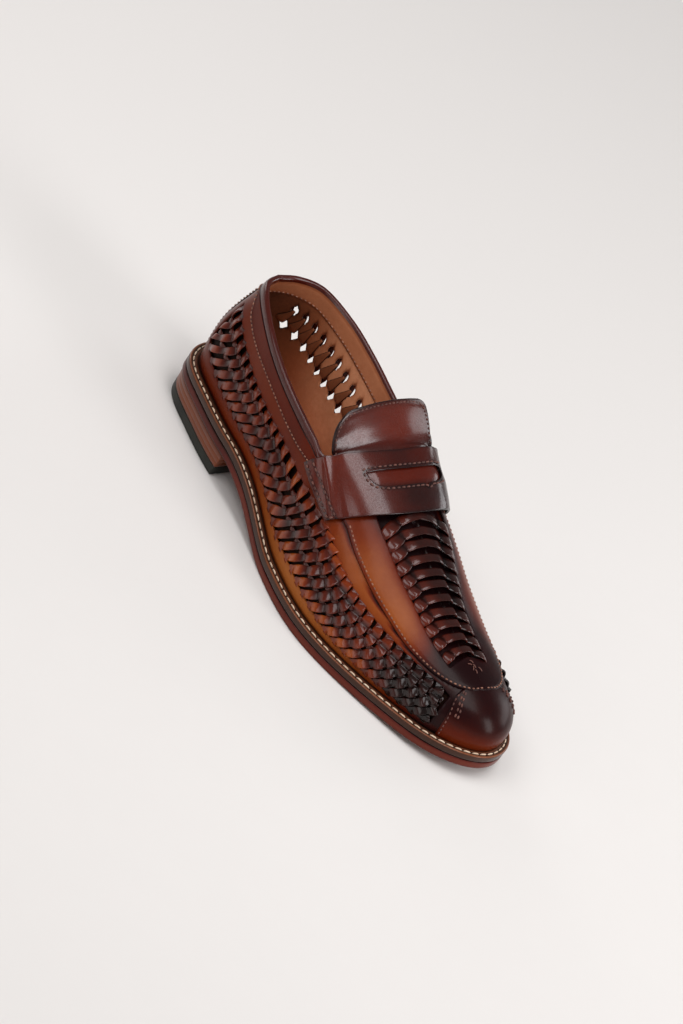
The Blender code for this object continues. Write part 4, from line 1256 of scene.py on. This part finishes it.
strap = {
    # share from outer to inner end, rear and front bearing, rear x, front x, height over the upper
    "table": ((-1, -62.5, -74.5, 82, 115.5, .7), (-.75, -48, -57, 89, 123.5, 2.5),
              (-.5, -32, -38, 94, 129, 3), (0, 0, 0, 98.5, 133.5, 2.9), (.5, 31, 37, 99.5, 132.5, 3.2),
              (.75, 47, 56, 97.5, 128.5, 2.4), (1, 63, 75, 94, 122, .9)),
    # how far its rear edge stands off the tongue towards the inner end
    "rearLift": ((-1, 0), (-.2, 0), (.2, 1), (.5, 5), (.7, 8.5), (.85, 7.5), (1, 3)),
    "cells": (140, 36), "passes": 1100, "thickness": 2.0, "roll": 0.4, "slotRoll": 0.4,
    "halfLength": 46, "width": 35.5,        # millimetres to a share of 1, along and across, near the slot
    # slot: middle and half length; height of its ends, rear and front edge; notch's height, place and reach
    "slotAt": 0.05, "slotEnd": 0.5, "slotMiddle": 0.34, "slotTop": 0.3, "slotBottom": 0.56,
    "notch": 0.045, "notchAt": 0.26, "notchReach": 0.05,
    # fold over the upper's edge at the outer end: place, how it slants, height
    "fold": -0.765, "foldTurn": -0.155, "foldHeight": 0.75,
    # stitches: the two rows at an end; the slot's row from its edge, as a share of the width;
    # the painted shadow lines under them in millimetres from the edge, and their half width
    "stitchEnds": (0.965, 0.89), "stitchAway": 0.045, "rowsAt": (1.6, 5.0), "rowShadow": 0.5,
}


def strapRadius():
    # pulled tight: each pass goes half way to the neighbours' mean but never below the upper
    s = np.linspace(-1, 1, strap["cells"][0] + 1)[:, None]
    t = np.linspace(0, 1, strap["cells"][1] + 1)[None]
    rear, front, rearX, frontX = (smoothTable(s, strap["table"], k) for k in (1, 2, 3, 4))
    under = underRadius(rearX + (frontX - rearX) * t, rear + (front - rear) * t)
    radius = under.copy()
    for _ in range(strap["passes"]):
        wide = np.pad(radius, 1, mode="edge")
        wide[0], wide[-1] = 2 * wide[1] - wide[2], 2 * wide[-2] - wide[-3]
        wide[:, 0], wide[:, -1] = 2 * wide[:, 1] - wide[:, 2], 2 * wide[:, -2] - wide[:, -3]
        mean = (wide[:-2, 1:-1] + wide[2:, 1:-1] + wide[1:-1, :-2] + wide[1:-1, 2:]) / 4
        radius = np.maximum((radius + mean) / 2, under)
    return radius


tight = strapRadius()


def strapPoint(s, t, lift):
    # outer face of the strap at share s along and t across from its rear edge, moved out by lift
    rear, front, rearX, frontX, over = (smoothTable(s, strap["table"], k) for k in (1, 2, 3, 4, 5))
    radius = bilinear(tight, (s + 1) / 2 * strap["cells"][0], t * strap["cells"][1])
    over = over + smoothTable(s, strap["rearLift"]) * (1 - t) ** 0.8
    fold = strap["fold"] + strap["foldTurn"] * t
    ridge = strap["foldHeight"] * (bell(s, fold, 0.028) - 0.5 * bell(s, fold + 0.08, 0.04))
    return aroundInstep(rearX + (frontX - rearX) * t, rear + (front - rear) * t,
                        radius + over + strap["thickness"] + ridge + lift)


def slotLine(s, rearEdge):
    # edge of the penny slot: straight rear edge, fuller front edge with a small notch, pointed ends
    q = (s - strap["slotAt"]) / strap["slotEnd"]
    end = np.clip(1 - np.abs(q) ** 7, 0, 1) ** 0.5
    middle = strap["slotMiddle"]
    if rearEdge:
        return middle - (middle - strap["slotTop"]) * end
    peak = strap["notch"] * np.clip(1 - np.abs(s - strap["notchAt"]) / strap["notchReach"], 0, 1)
    return middle + (strap["slotBottom"] - middle + peak) * end


def strapSheet():
    # two grids, from the rear edge to the slot's line and from there to the front edge
    near = 0.03 * np.linspace(0, 1, 7) ** 2
    slotEnds = strap["slotAt"] - strap["slotEnd"], strap["slotAt"] + strap["slotEnd"]
    s = np.unique(np.r_[np.linspace(-1, 1, 161), slotEnds[0] + near, slotEnds[1] - near,
                        -1 + near / 2, 1 - near / 2])[:, None]
    share = np.r_[0, .01, .025, .045, .07, np.linspace(.11, .86, 11), .91, .95, .975, .99, 1][None]
    toEnd = (1 - np.abs(s)) * strap["halfLength"]
    parts = []
    for rearEdge in (True, False):
        line = slotLine(s, rearEdge)
        t = share * line if rearEdge else 1 - share[:, ::-1] * (1 - line)
        away = np.minimum(np.minimum(t, 1 - t) * strap["width"], toEnd)
        beyond = np.clip(np.abs(s - strap["slotAt"]) - strap["slotEnd"], 0, 1) * strap["halfLength"]
        toSlot = np.hypot(np.abs(t - line) * strap["width"], beyond)
        lift = (0.08 * bell(toSlot, 1.8, 0.8) - edgeRoll(away, strap["roll"])
                - edgeRoll(toSlot, strap["slotRoll"]))
        # darker at the edges, the inner end and the front; painted shadow under the stitches; paler behind
        # the slot
        shade = (0.48 + 0.3 * np.exp(-away / 0.6) + 0.3 * np.exp(-toSlot / 0.6) + 0.26 * rise(s, -0.7, 0.1)
                 + 0.1 * bell(t, 0.75, 0.2) * rise(s, -0.3, 0.1) - 0.12 * bell(s, 0.3, 0.2) * (1 - t)
                 + 0.35 * bell(toSlot, strap["rowsAt"][0], strap["rowShadow"])
                 + 0.3 * sum(bell(toEnd, row, strap["rowShadow"]) for row in strap["rowsAt"]))
        parts.append((strapPoint(s, t, lift), gridFaces(*t.shape, flip=True), np.clip(shade, 0, 1)))
    return parts


pennyStrap = makePiece("pennyStrap", strapSheet(), [oxbloodLeather], stands=("strap",))
giveThickness(pennyStrap, strap["thickness"])


def strapLining():
    # second layer seen through the slot, slightly swollen between the slot's edges
    s, t = np.linspace(-0.6, 0.68, 81)[:, None], np.linspace(0.12, 0.72, 31)[None]
    lift = -2.05 + 0.85 * bell(t, 0.44, 0.13) * (1 - rise(np.abs(s - strap["slotAt"]), 0.4, 0.52))
    return strapPoint(s, t, lift), gridFaces(*lift.shape, flip=True), 0.5 + 0.2 * rise(t + 0 * s, 0.45, 0.6)


underStrap = makePiece("strapLining", [strapLining()], [oxbloodLeather])
giveThickness(underStrap, 0.5)

tongue = {
    # root under the strap: middle, outer and inner x, outer and inner bearing, rise at the inner side
    "root": ((111.5, 107, 111.5, -40, 41, 0), (108, 103.5, 108, -40.5, 41.5, .4),
             (104.5, 100, 104.5, -41, 42, 1.4), (101, 96.5, 101, -41.5, 42, 3.2),
             (97.5, 93, 98, -41, 41.5, 5.8)),
    "lift": 0.7,
    # free part: x, y, z, half width, drop of its sides, rise and advance to the inner side
    "tab": ((93.5, 2.8, 85.3, 32, 6.5, .15, .1), (88, 2.4, 91.8, 33, 8.5, .13, .07),
            (83, 2, 99, 33.2, 8, .1, .03), (79.5, 2, 104.5, 33.5, 6.5, .08, .02)),
    "strips": 41, "fine": 121,              # strips across it, places along it
    # corners, outer and inner: how far down they start, share of the half width that they take
    "corner": (9.0, 14.0), "cornerShare": (0.26, 0.4),
    "thickness": 1.6, "roll": 0.7, "halfWidth": 30, "stitchInset": 1.8,
    "inside": (70.0, 2.0, 80.0),            # a place in the shoe's opening; stitches point away from it
}


def tongueSurface():
    # cubic through the rows of the root and the tab for every strip across, and its length along the middle
    a = np.linspace(-1, 1, tongue["strips"])
    lines = []
    for midX, outX, inX, outer, inner, climb in tongue["root"]:
        bearing = outer + (inner - outer) * (a + 1) / 2
        x = midX + np.where(a < 0, outX - midX, inX - midX) * a**2
        radius = underRadius(x, bearing) + tongue["lift"] + tongue["thickness"]
        lines.append(aroundInstep(x, bearing, radius + climb * (a / 2 + 0.5) ** 2))
    for x, y, z, wide, drop, climb, advance in tongue["tab"]:
        lines.append(np.stack([x + advance * wide * a, y + wide * a, z - drop * a**2 + climb * wide * a], 1))
    lines = np.array(lines)
    length = runningLength(lines[:, tongue["strips"] // 2])
    table = np.column_stack([length / length[-1], lines.reshape(len(lines), -1)])
    fine = np.linspace(0, 1, tongue["fine"])
    grid = np.stack([smoothTable(fine, table, k) for k in range(1, table.shape[1])], 1)
    return grid.reshape(tongue["fine"], tongue["strips"], 3), length[-1]


tongueGrid, tongueLength = tongueSurface()


def tonguePoint(share, across):
    # point at a share of the tongue's length and across from -1 to 1
    i, j = share * (tongue["fine"] - 1), (across + 1) * (tongue["strips"] // 2)
    return np.stack([bilinear(tongueGrid[..., k], i, j) for k in range(3)], -1)


def tongueOutline(share):
    # half widths as a share, outer and inner: full, then an ellipse's quarter at the top corners
    down = tongueLength - np.array(tongue["corner"])
    near = np.clip((share[..., None] * tongueLength - down) / tongue["corner"], 0, 1)
    return 1 - tongue["cornerShare"] * (1 - np.sqrt(1 - near**2))


def tongueSheet():
    # grid from the root to the rounded top, its normals by differences, turned up and forward
    share = np.r_[np.linspace(0, .7, 30), 1 - .3 * (1 - np.sin(np.linspace(0, np.pi / 2, 26)[1:]))][:, None]
    a = np.r_[-1, -.99, -.975, -.95, -.92, np.linspace(-.88, .88, 41), .92, .95, .975, .99, 1][None]
    outline = tongueOutline(share)
    across = a * np.where(a < 0, outline[..., 0], outline[..., 1])
    points = tonguePoint(*np.broadcast_arrays(share, across))
    turn = unit(np.cross(np.gradient(points, axis=0), np.gradient(points, axis=1)))
    middle = turn[30, 25]
    turn = turn * np.where(middle[0] + middle[2] < 0, -1, 1)
    away = np.minimum((1 - np.abs(a)) * tongue["halfWidth"], (1 - share) * tongueLength)
    lift = -edgeRoll(away, tongue["roll"]) + 0.12 * bell(away, 2.6, 1.2)
    shade = 0.42 + 0.45 * np.exp(-away / 1.4) + 0.2 * (1 - rise(share, 0.4, 0.6)) + 0.2 * np.abs(across) ** 2
    return points + turn * lift[..., None], gridFaces(*points.shape[:2], flip=True), np.clip(shade, 0, 1)


tongueTab = makePiece("tongueTab", [tongueSheet()], [oxbloodLeather, liningLeather, oxbloodLeather],
                      stands=("tongue",))
giveThickness(tongueTab, tongue["thickness"], inside=1, rim=2)
print("strap and tongue made")


# welt, sole, heel and sock

def soleLoop(inset, level, count):
    # closed line round the sole at an inset and a level above its underside
    u = np.linspace(0, 1, count + 1)
    plan = np.concatenate([edgeLine(0, u, inset)[:-1], edgeLine(1, u, inset)[:0:-1]])
    return np.column_stack([plan, soleHeight(plan[:, 0]) + level])


def ringBody(profile, count, closed=True):
    # profile of inset, level and shade carried round the sole
    points = np.stack([soleLoop(inset, level, count) for inset, level, _ in profile], 1)
    faces = gridFaces(*points.shape[:2], wrapRows=True, wrapColumns=closed, flip=closed)
    shade = np.broadcast_to(np.array(profile)[None, :, 2], points.shape[:2])
    return points, faces, shade


def acrossSole(inset, level, shade, count, cells=12, flip=False, dish=0.0):
    # grid from the outer to the inner line of the sole at one inset, its middle raised by dish as a parabola
    u = np.linspace(0, 1, count + 1)
    share = np.linspace(0, 1, cells + 1)[None, :, None]
    plan = edgeLine(0, u, inset)[:, None] * (1 - share) + edgeLine(1, u, inset)[:, None] * share
    height = soleHeight(plan[..., 0]) + level + dish * (4 * share[..., 0] * (1 - share[..., 0]))
    points = np.dstack([plan, height])
    return points, gridFaces(*points.shape[:2], flip=flip), np.broadcast_to(shade, points.shape[:2])


welt = {
    "count": 300,
    # inset, level over the sole's underside, shade, painted darker in the corner against the upper, in the
    # stitch channel and in the gap over the sole
    "profile": ((15, 9.3, .8), (7.5, 9.3, .9), (6.0, 9.25, .95), (5.0, 9.3, .7), (4.2, 9.32, .5),
                (3.5, 9.28, .5), (3.15, 9.05, .8), (2.6, 8.9, .9), (2.05, 9.05, .85), (1.7, 9.22, .65),
                (1.2, 9.28, .5), (.7, 9.26, .34), (.3, 9.12, .34), (.05, 8.8, .6), (0, 8.3, .8), (0, 7.2, .8),
                (0, 5.9, .85), (.1, 5.4, .95), (.5, 5.12, 1), (15, 5.12, 1)),
    # stitch length, space, width, height, how far its ends are sunk; the row's inset and level
    "stitch": (4.2, 0.8, 0.92, 0.95, 0.25), "stitchInset": 2.6, "stitchLevel": 9.1,
}
makePiece("weltRing", [ringBody(welt["profile"], welt["count"])], [weltLeather],
          stands=("welt",))
weltPath = soleLoop(welt["stitchInset"], welt["stitchLevel"], 600)
weltPath = np.concatenate([weltPath, weltPath[:1]])
upwards = np.tile((0, 0, 1.0), (len(weltPath), 1))
makePiece("weltStitches", [stitchRow(weltPath, upwards, *welt["stitch"])], [creamThread],
          weld=False)

sole = {
    "count": 200,
    # inset, level over the underside, shade; painted shade at the top, in the gap under the welt
    "rim": ((7.0, 0, .5), (6.4, 0, .8), (6.1, .45, 1), (5.8, 0, .8), (5.0, 0, .45), (.9, 0, .5),
            (.3, .12, .6), (0, .55, .6), (0, 1.6, .45), (0, 3.4, .5), (.05, 4.3, .65), (.25, 4.65, .9),
            (.7, 4.8, 1)),
}


def soleRim():
    # round the sole's edge; over the heel the rim takes the stack's colour
    points, faces, shade = ringBody(sole["rim"], sole["count"], closed=False)
    return points, faces, np.clip(shade + 0.25 * (1 - rise(points[..., 0], 30, 60)), 0, 1)


soleParts = [soleRim()]
for (inset, level, _), shade, flip in ((sole["rim"][0], 0.5, True), (sole["rim"][-1], 1.0, False)):
    soleParts.append(acrossSole(inset, level, shade, sole["count"], flip=flip))
makePiece("soleLeather", soleParts, [soleLeather], stands=("outsole",))

heel = {
    "breast": 36.0, "breastInset": 1.2, "count": 90, "cells": 12,
    # level, inset, shade: joints between the lifts are small grooves
    "stack": ((6.3, 1.9, .9), (6.45, 1.6, .5), (7.6, 1.52, .36), (9.35, 1.4, .36), (9.5, 1.46, .5),
              (9.65, 1.38, .36), (11, 1.27, .34), (12.65, 1.14, .36), (12.8, 1.2, .5), (12.95, 1.12, .4),
              (14.5, .97, .5), (15.95, .87, .62), (16.15, 1.0, .9)),
    "topPiece": ((0, 2.4, .5), (.25, 1.95, .5), (.8, 1.8, .5), (3, 1.72, .5), (5.2, 1.64, .5),
                 (5.75, 1.72, .5), (6.0, 1.95, .5)),
}


def heelBody(levels):
    # level lines of the heel's side, round the back and straight across the breast, closed top and bottom
    lines, shades, n = [], [], heel["count"]
    fine = np.linspace(0, 0.4, 401)
    share = np.linspace(0, 1, heel["cells"] + 1)
    for level, inset, shade in levels:
        front = heel["breast"] - (inset - heel["breastInset"])
        sides = []
        for side in (0, 1):
            stop = np.interp(front, edgeLine(side, fine, inset)[:, 0], fine)
            sides.append(edgeLine(side, np.linspace(0, stop, n + 1), inset))
        breast = sides[0][-1] * (1 - share[1:-1, None]) + sides[1][-1] * share[1:-1, None]
        plan = np.concatenate([sides[1][:0:-1], sides[0], breast])
        lines.append(np.column_stack([plan, np.full(len(plan), level)]))
        shades.append(np.full(len(plan), shade))
    wall = np.stack(lines, 1)
    parts = [(wall, gridFaces(*wall.shape[:2], wrapRows=True), np.stack(shades, 1))]
    for k in (0, -1):
        outer, inner = lines[k][n:2 * n + 1], np.concatenate([lines[k][n:n + 1], lines[k][:n][::-1]])
        fill = outer[:, None] * (1 - share[None, :, None]) + inner[:, None] * share[None, :, None]
        parts.append((fill, gridFaces(*fill.shape[:2], flip=k == 0), np.full(fill.shape[:2], shades[k][0])))
    return parts


makePiece("heelStack", heelBody(heel["stack"]), [stackedLeather], stands=("heel_stack",))
makePiece("topPiece", heelBody(heel["topPiece"]), [heelRubber], stands=("top_lift",))

# edge's inset, level over the sole's underside and shade, painted darker down into the corner against the
# wall; middle's shade, and how far it is trodden down
sock = {
    "count": 160, "profile": ((9.0, 9.9, .8), (8.85, 10.6, .7), (8.8, 12.2, .6), (9.0, 12.75, .5),
                              (9.5, 12.95, .4)),
    "middleShade": 0.1, "dish": -0.9,
}
sockParts = [ringBody(sock["profile"], sock["count"], closed=False),
             acrossSole(*sock["profile"][0], sock["count"], flip=True),
             acrossSole(*sock["profile"][-1][:2], sock["middleShade"], sock["count"], cells=20,
                        dish=sock["dish"])]
makePiece("sock", sockParts, [liningLeather], stands=("insole",))
print("sole and heel made")


# seams and stitches

seams = {
    # stitch length, space, width, height
    "fine": (1.7, 0.9, 0.85, 0.75), "bold": (2.2, 1.0, 1.15, 1.0),
    # distance of each row from its edge or seam, and how high it stands on the wall; the facing's is inside
    "collar": (1.5, 1.15), "apron": (1.25, 1.45), "toe": (1.4, 1.05), "backStay": (-1.5, 1.15),
    "facing": (10.6, -2.85),
    "apronScale": 45,                       # millimetres of wall to a unit of height beside the apron's seam
}


def wallStitches(side, u, v, lift, style, outwards=1):
    # a row of stitches over stations and wall heights
    path, out = onWallPath(side, u, v, lift, 400)
    return stitchRow(path, out * outwards, *seams[style])


def seamStitches():
    # rows in brown thread, and the dark ones at the toe: one beside its seam, two across its side
    brown, dark = [], []
    for side in (0, 1):
        u = np.linspace(0.0, 0.44, 200)
        inset, lift = seams["collar"]
        brown.append(wallStitches(side, u, smoothTable(u, collar["seam"]) + inset / topScale(side, u), lift,
                                  "fine"))
        u = np.linspace(0.55, 0.985, 220)
        inset, lift = seams["apron"]
        v = smoothTable(u, last["apronSeam"]) + inset / seams["apronScale"]
        brown.append(wallStitches(side, u, v, lift, "fine"))
        v = np.linspace(0.02, 0.60, 80)
        inset, lift = seams["toe"]
        u = smoothTable(v, toe["seam"]) + inset / weave["edgeLength"]
        dark.append(wallStitches(side, u, v, lift, "fine"))
        v = np.linspace(0.3, 0.68, 80)
        for start in (0.918, 0.9235):
            dark.append(wallStitches(side, start - 0.01 * rise(v, 0.3, 0.68), v, lift, "bold"))
        v = np.linspace(0.02, 0.86, 120)
        inset, lift = seams["backStay"]
        u = smoothTable(v, backStay["halfWidth"]) + inset / weave["edgeLength"]
        brown.append(wallStitches(side, u, v, lift, "fine"))
        u = np.linspace(0.0, 0.44, 200)
        inset, lift = seams["facing"]
        brown.append(wallStitches(side, u, 1 - inset / topScale(side, u), lift, "fine", outwards=-1))
    return brown, dark


def sewnOnStrap(s, t, count=260):
    # an even row on the strap, its outward directions away from the instep line
    points = evenly(strapPoint(s, t, 0.3), count)
    line = np.stack([points[:, 0], np.full(count, instep["axisY"]), np.full(count, instep["axisZ"])], 1)
    return stitchRow(points, unit(points - line), *seams["bold"])


def strapStitches():
    # two rows across each end joined in a half circle, and one row round the slot, open at its inner end
    parts = []
    t = np.linspace(0.05, 0.93, 80)
    corner = np.linspace(0, np.pi, 21)[1:-1]
    far, near = strap["stitchEnds"]
    s = np.r_[np.full(80, far), (far + near) / 2 + (far - near) / 2 * np.cos(corner), np.full(80, near)]
    for end in (-1, 1):
        parts.append(sewnOnStrap(end * s, np.r_[t, 0.93 + 0.04 * np.sin(corner), t[::-1]]))
    q = np.linspace(-1, 0.9, 161)
    inner = strap["slotAt"] + strap["slotEnd"] * q
    s = strap["slotAt"] + strap["slotEnd"] * 1.07 * q
    rear, front = slotLine(inner, True) - strap["stitchAway"], slotLine(inner, False) + strap["stitchAway"]
    parts.append(sewnOnStrap(np.r_[s[::-1], s], np.r_[rear[::-1], front]))
    return parts


def tongueStitches():
    # one row up one side, across under the top and down the other, each a fixed inset from the edge
    inset = tongue["stitchInset"]
    share = np.linspace(0.45, 1 - inset / tongueLength, 120)
    side = tongueOutline(share + inset / tongueLength) - inset / tongue["halfWidth"]
    share = np.r_[share, np.full(61, share[-1]), share[::-1]]
    across = np.r_[-side[:, 0], np.linspace(-side[-1, 0], side[-1, 1], 63)[1:-1], side[::-1, 1]]
    path = evenly(tonguePoint(share, across), 300)
    out = unit(path - np.array(tongue["inside"]))
    return [stitchRow(path + out * 0.25, out, *seams["fine"])]


# a small hand tack below the last row: each arm's start ahead and across, then its run, in millimetres
tack = {
    "x": 216.5, "y": -1.5, "spread": 1.2, "crestY": -1.0, "vampWidth": 62,
    "arms": ((-1.6, -2.2, 1.8, 2.6), (1.4, 0.6, 1.6, -2.0), (-2.6, 0.2, 1.4, 1.6), (0.6, 3.6, 2.0, 1.2),
             (3.4, 0.8, 2.6, -0.4), (-0.2, 1.0, 2.2, 0.6)),
    "lift": 0.15, "arch": 0.35, "halfWidth": 0.35, "halfHeight": 0.3, "shade": 0.2,
}


def tackStitches():
    # straight in plan, arched by half a sine
    ahead, over, runX, runY = (column[:, None] for column in np.array(tack["arms"]).T)
    share = np.linspace(0, 1, 9)[None]
    u = stationAtCrest(tack["x"] + ahead + runX * share)
    w = (tack["y"] + over * tack["spread"] + runY * share - tack["crestY"]) / tack["vampWidth"]
    here, _, _, out = vampFrame(u, w)
    centre = here + out * (apron["lift"] + tack["lift"] + tack["arch"] * np.sin(np.pi * share))[..., None]
    _, across, outward = turnAlong(centre, out)
    return tubeAlong(centre, across, outward, tack["halfWidth"], tack["halfHeight"], ringSection(6, 1.0),
                     tack["shade"])


brownRows, darkRows = seamStitches()
makePiece("seamStitches", brownRows, [brownThread], weld=False)
makePiece("toeStitches", darkRows + [tackStitches()], [darkThread], weld=False)
makePiece("strapStitches", strapStitches() + tongueStitches(), [darkThread], weld=False)
print("stitches sewn")


# floor, lights and camera

# floor's colour, how much of it is left at its deepest; metres across; the way in which its painted shade
# gets deeper
stage = {"floor": tone(226, 222, 218), "deepest": 0.86, "size": 9.0, "deeper": (1.2, -0.95, 0.0),
         "fleck": 0.1}


def makeFloor():
    # one large plain sheet with painted shade, deeper ahead of the toe and beside it where the lamps light it
    # most, and a faint fleck
    half = stage["size"] / 2
    mesh = bpy.data.meshes.new("floor")
    corners = [(-half, -half, 0), (half, -half, 0), (half, half, 0), (-half, half, 0)]
    mesh.from_pydata(corners, [], [(0, 1, 2, 3)])
    material, tree, shader = startMaterial("floor_paper", 0.9, 0.1)
    spot = objectPlace(tree)
    ahead = tree.nodes.new("ShaderNodeVectorMath")
    ahead.operation = "DOT_PRODUCT"
    feed(tree, ahead.inputs[0], spot)
    feed(tree, ahead.inputs[1], stage["deeper"])
    fleck = noiseAt(tree, spot, 40.0, 2.0)
    place = calculate(tree, "MULTIPLY_ADD", fleck, stage["fleck"], ahead.outputs["Value"], clamp=True)
    deep = (*(part * stage["deepest"] for part in stage["floor"][:3]), 1)
    feed(tree, shader.inputs["Base Color"], ramp(tree, place, ((0.0, stage["floor"]), (1.0, deep))))
    mesh.materials.append(material)
    floor = bpy.data.objects.new("floor", mesh)
    bpy.context.scene.collection.objects.link(floor)


lights = {
    # name: (place, aim, width, height, power, colour), metres and watts
    "top": ((0.4, -0.15, 1.5), (0.1, 0, 0.05), 0.55, 1.4, 13.5, (0.98, 0.98, 1)),
    "outer": ((-0.3, -1.0, 1.45), (0.1, 0, 0.05), 1.1, 0.7, 9.6, (0.98, 0.98, 1)),
    "low": ((0.1, -1.6, 0.5), (0.1, 0, 0.05), 1.3, 0.4, 3.4, (1, 0.98, 0.96)),
    "back": ((-1.5, 0.3, 0.55), (0.05, 0, 0.05), 0.5, 0.9, 6.0, (0.98, 0.98, 1)),
    "front": ((1.35, 0.27, 0.6), (0.1, 0, 0.08), 0.4, 0.8, 8.5, (0.98, 0.98, 1)),
    "inner": ((0.5, 1.3, 0.42), (0.1, 0, 0.05), 1.0, 0.5, 5.2, (0.97, 0.98, 1)),
}


def makeLights():
    # large lamps, each turned to its aim, and a dim even room
    for name, (spot, aim, width, height, power, colour) in lights.items():
        lamp = bpy.data.lights.new(name, "AREA")
        lamp.shape, lamp.size, lamp.size_y = "RECTANGLE", width, height
        lamp.energy, lamp.color = power, colour
        thing = bpy.data.objects.new(name, lamp)
        thing.location = spot
        thing.rotation_euler = (Vector(aim) - Vector(spot)).to_track_quat("-Z", "Y").to_euler()
        bpy.context.scene.collection.objects.link(thing)
    world = bpy.data.worlds.new("studio")
    world.use_nodes = True
    world.node_tree.nodes["Background"].inputs["Color"].default_value = (0.95, 0.93, 0.92, 1)
    world.node_tree.nodes["Background"].inputs["Strength"].default_value = 0.2
    bpy.context.scene.world = world
    bpy.context.scene.view_settings.view_transform = "Standard"


view = {"azimuth": 31.47, "elevation": 34.81, "roll": 36.04, "lens": 184.4, "distance": 2.847,
        "aim": (0.11, 0, 0.04), "right": -0.0105, "up": 0.00537}


def makeCamera():
    # back points from the aim to the camera; right and up are turned about it by the roll
    a, e, r = (math.radians(view[k]) for k in ("azimuth", "elevation", "roll"))
    back = Vector((math.sin(a) * math.cos(e), -math.cos(a) * math.cos(e), math.sin(e)))
    level = Vector((math.cos(a), math.sin(a), 0))
    raised = back.cross(level)
    right = math.cos(r) * level + math.sin(r) * raised
    up = -math.sin(r) * level + math.cos(r) * raised
    lens = bpy.data.cameras.new("camera")
    lens.lens, lens.clip_end = view["lens"], 100
    camera = bpy.data.objects.new("camera", lens)
    turn = Matrix((right, up, back)).transposed().to_4x4()
    turn.translation = Vector(view["aim"]) + right * view["right"] + up * view["up"] + back * view["distance"]
    camera.matrix_world = turn
    bpy.context.scene.collection.objects.link(camera)
    bpy.context.scene.camera = camera


makeFloor()
makeLights()
makeCamera()
print("stage set")
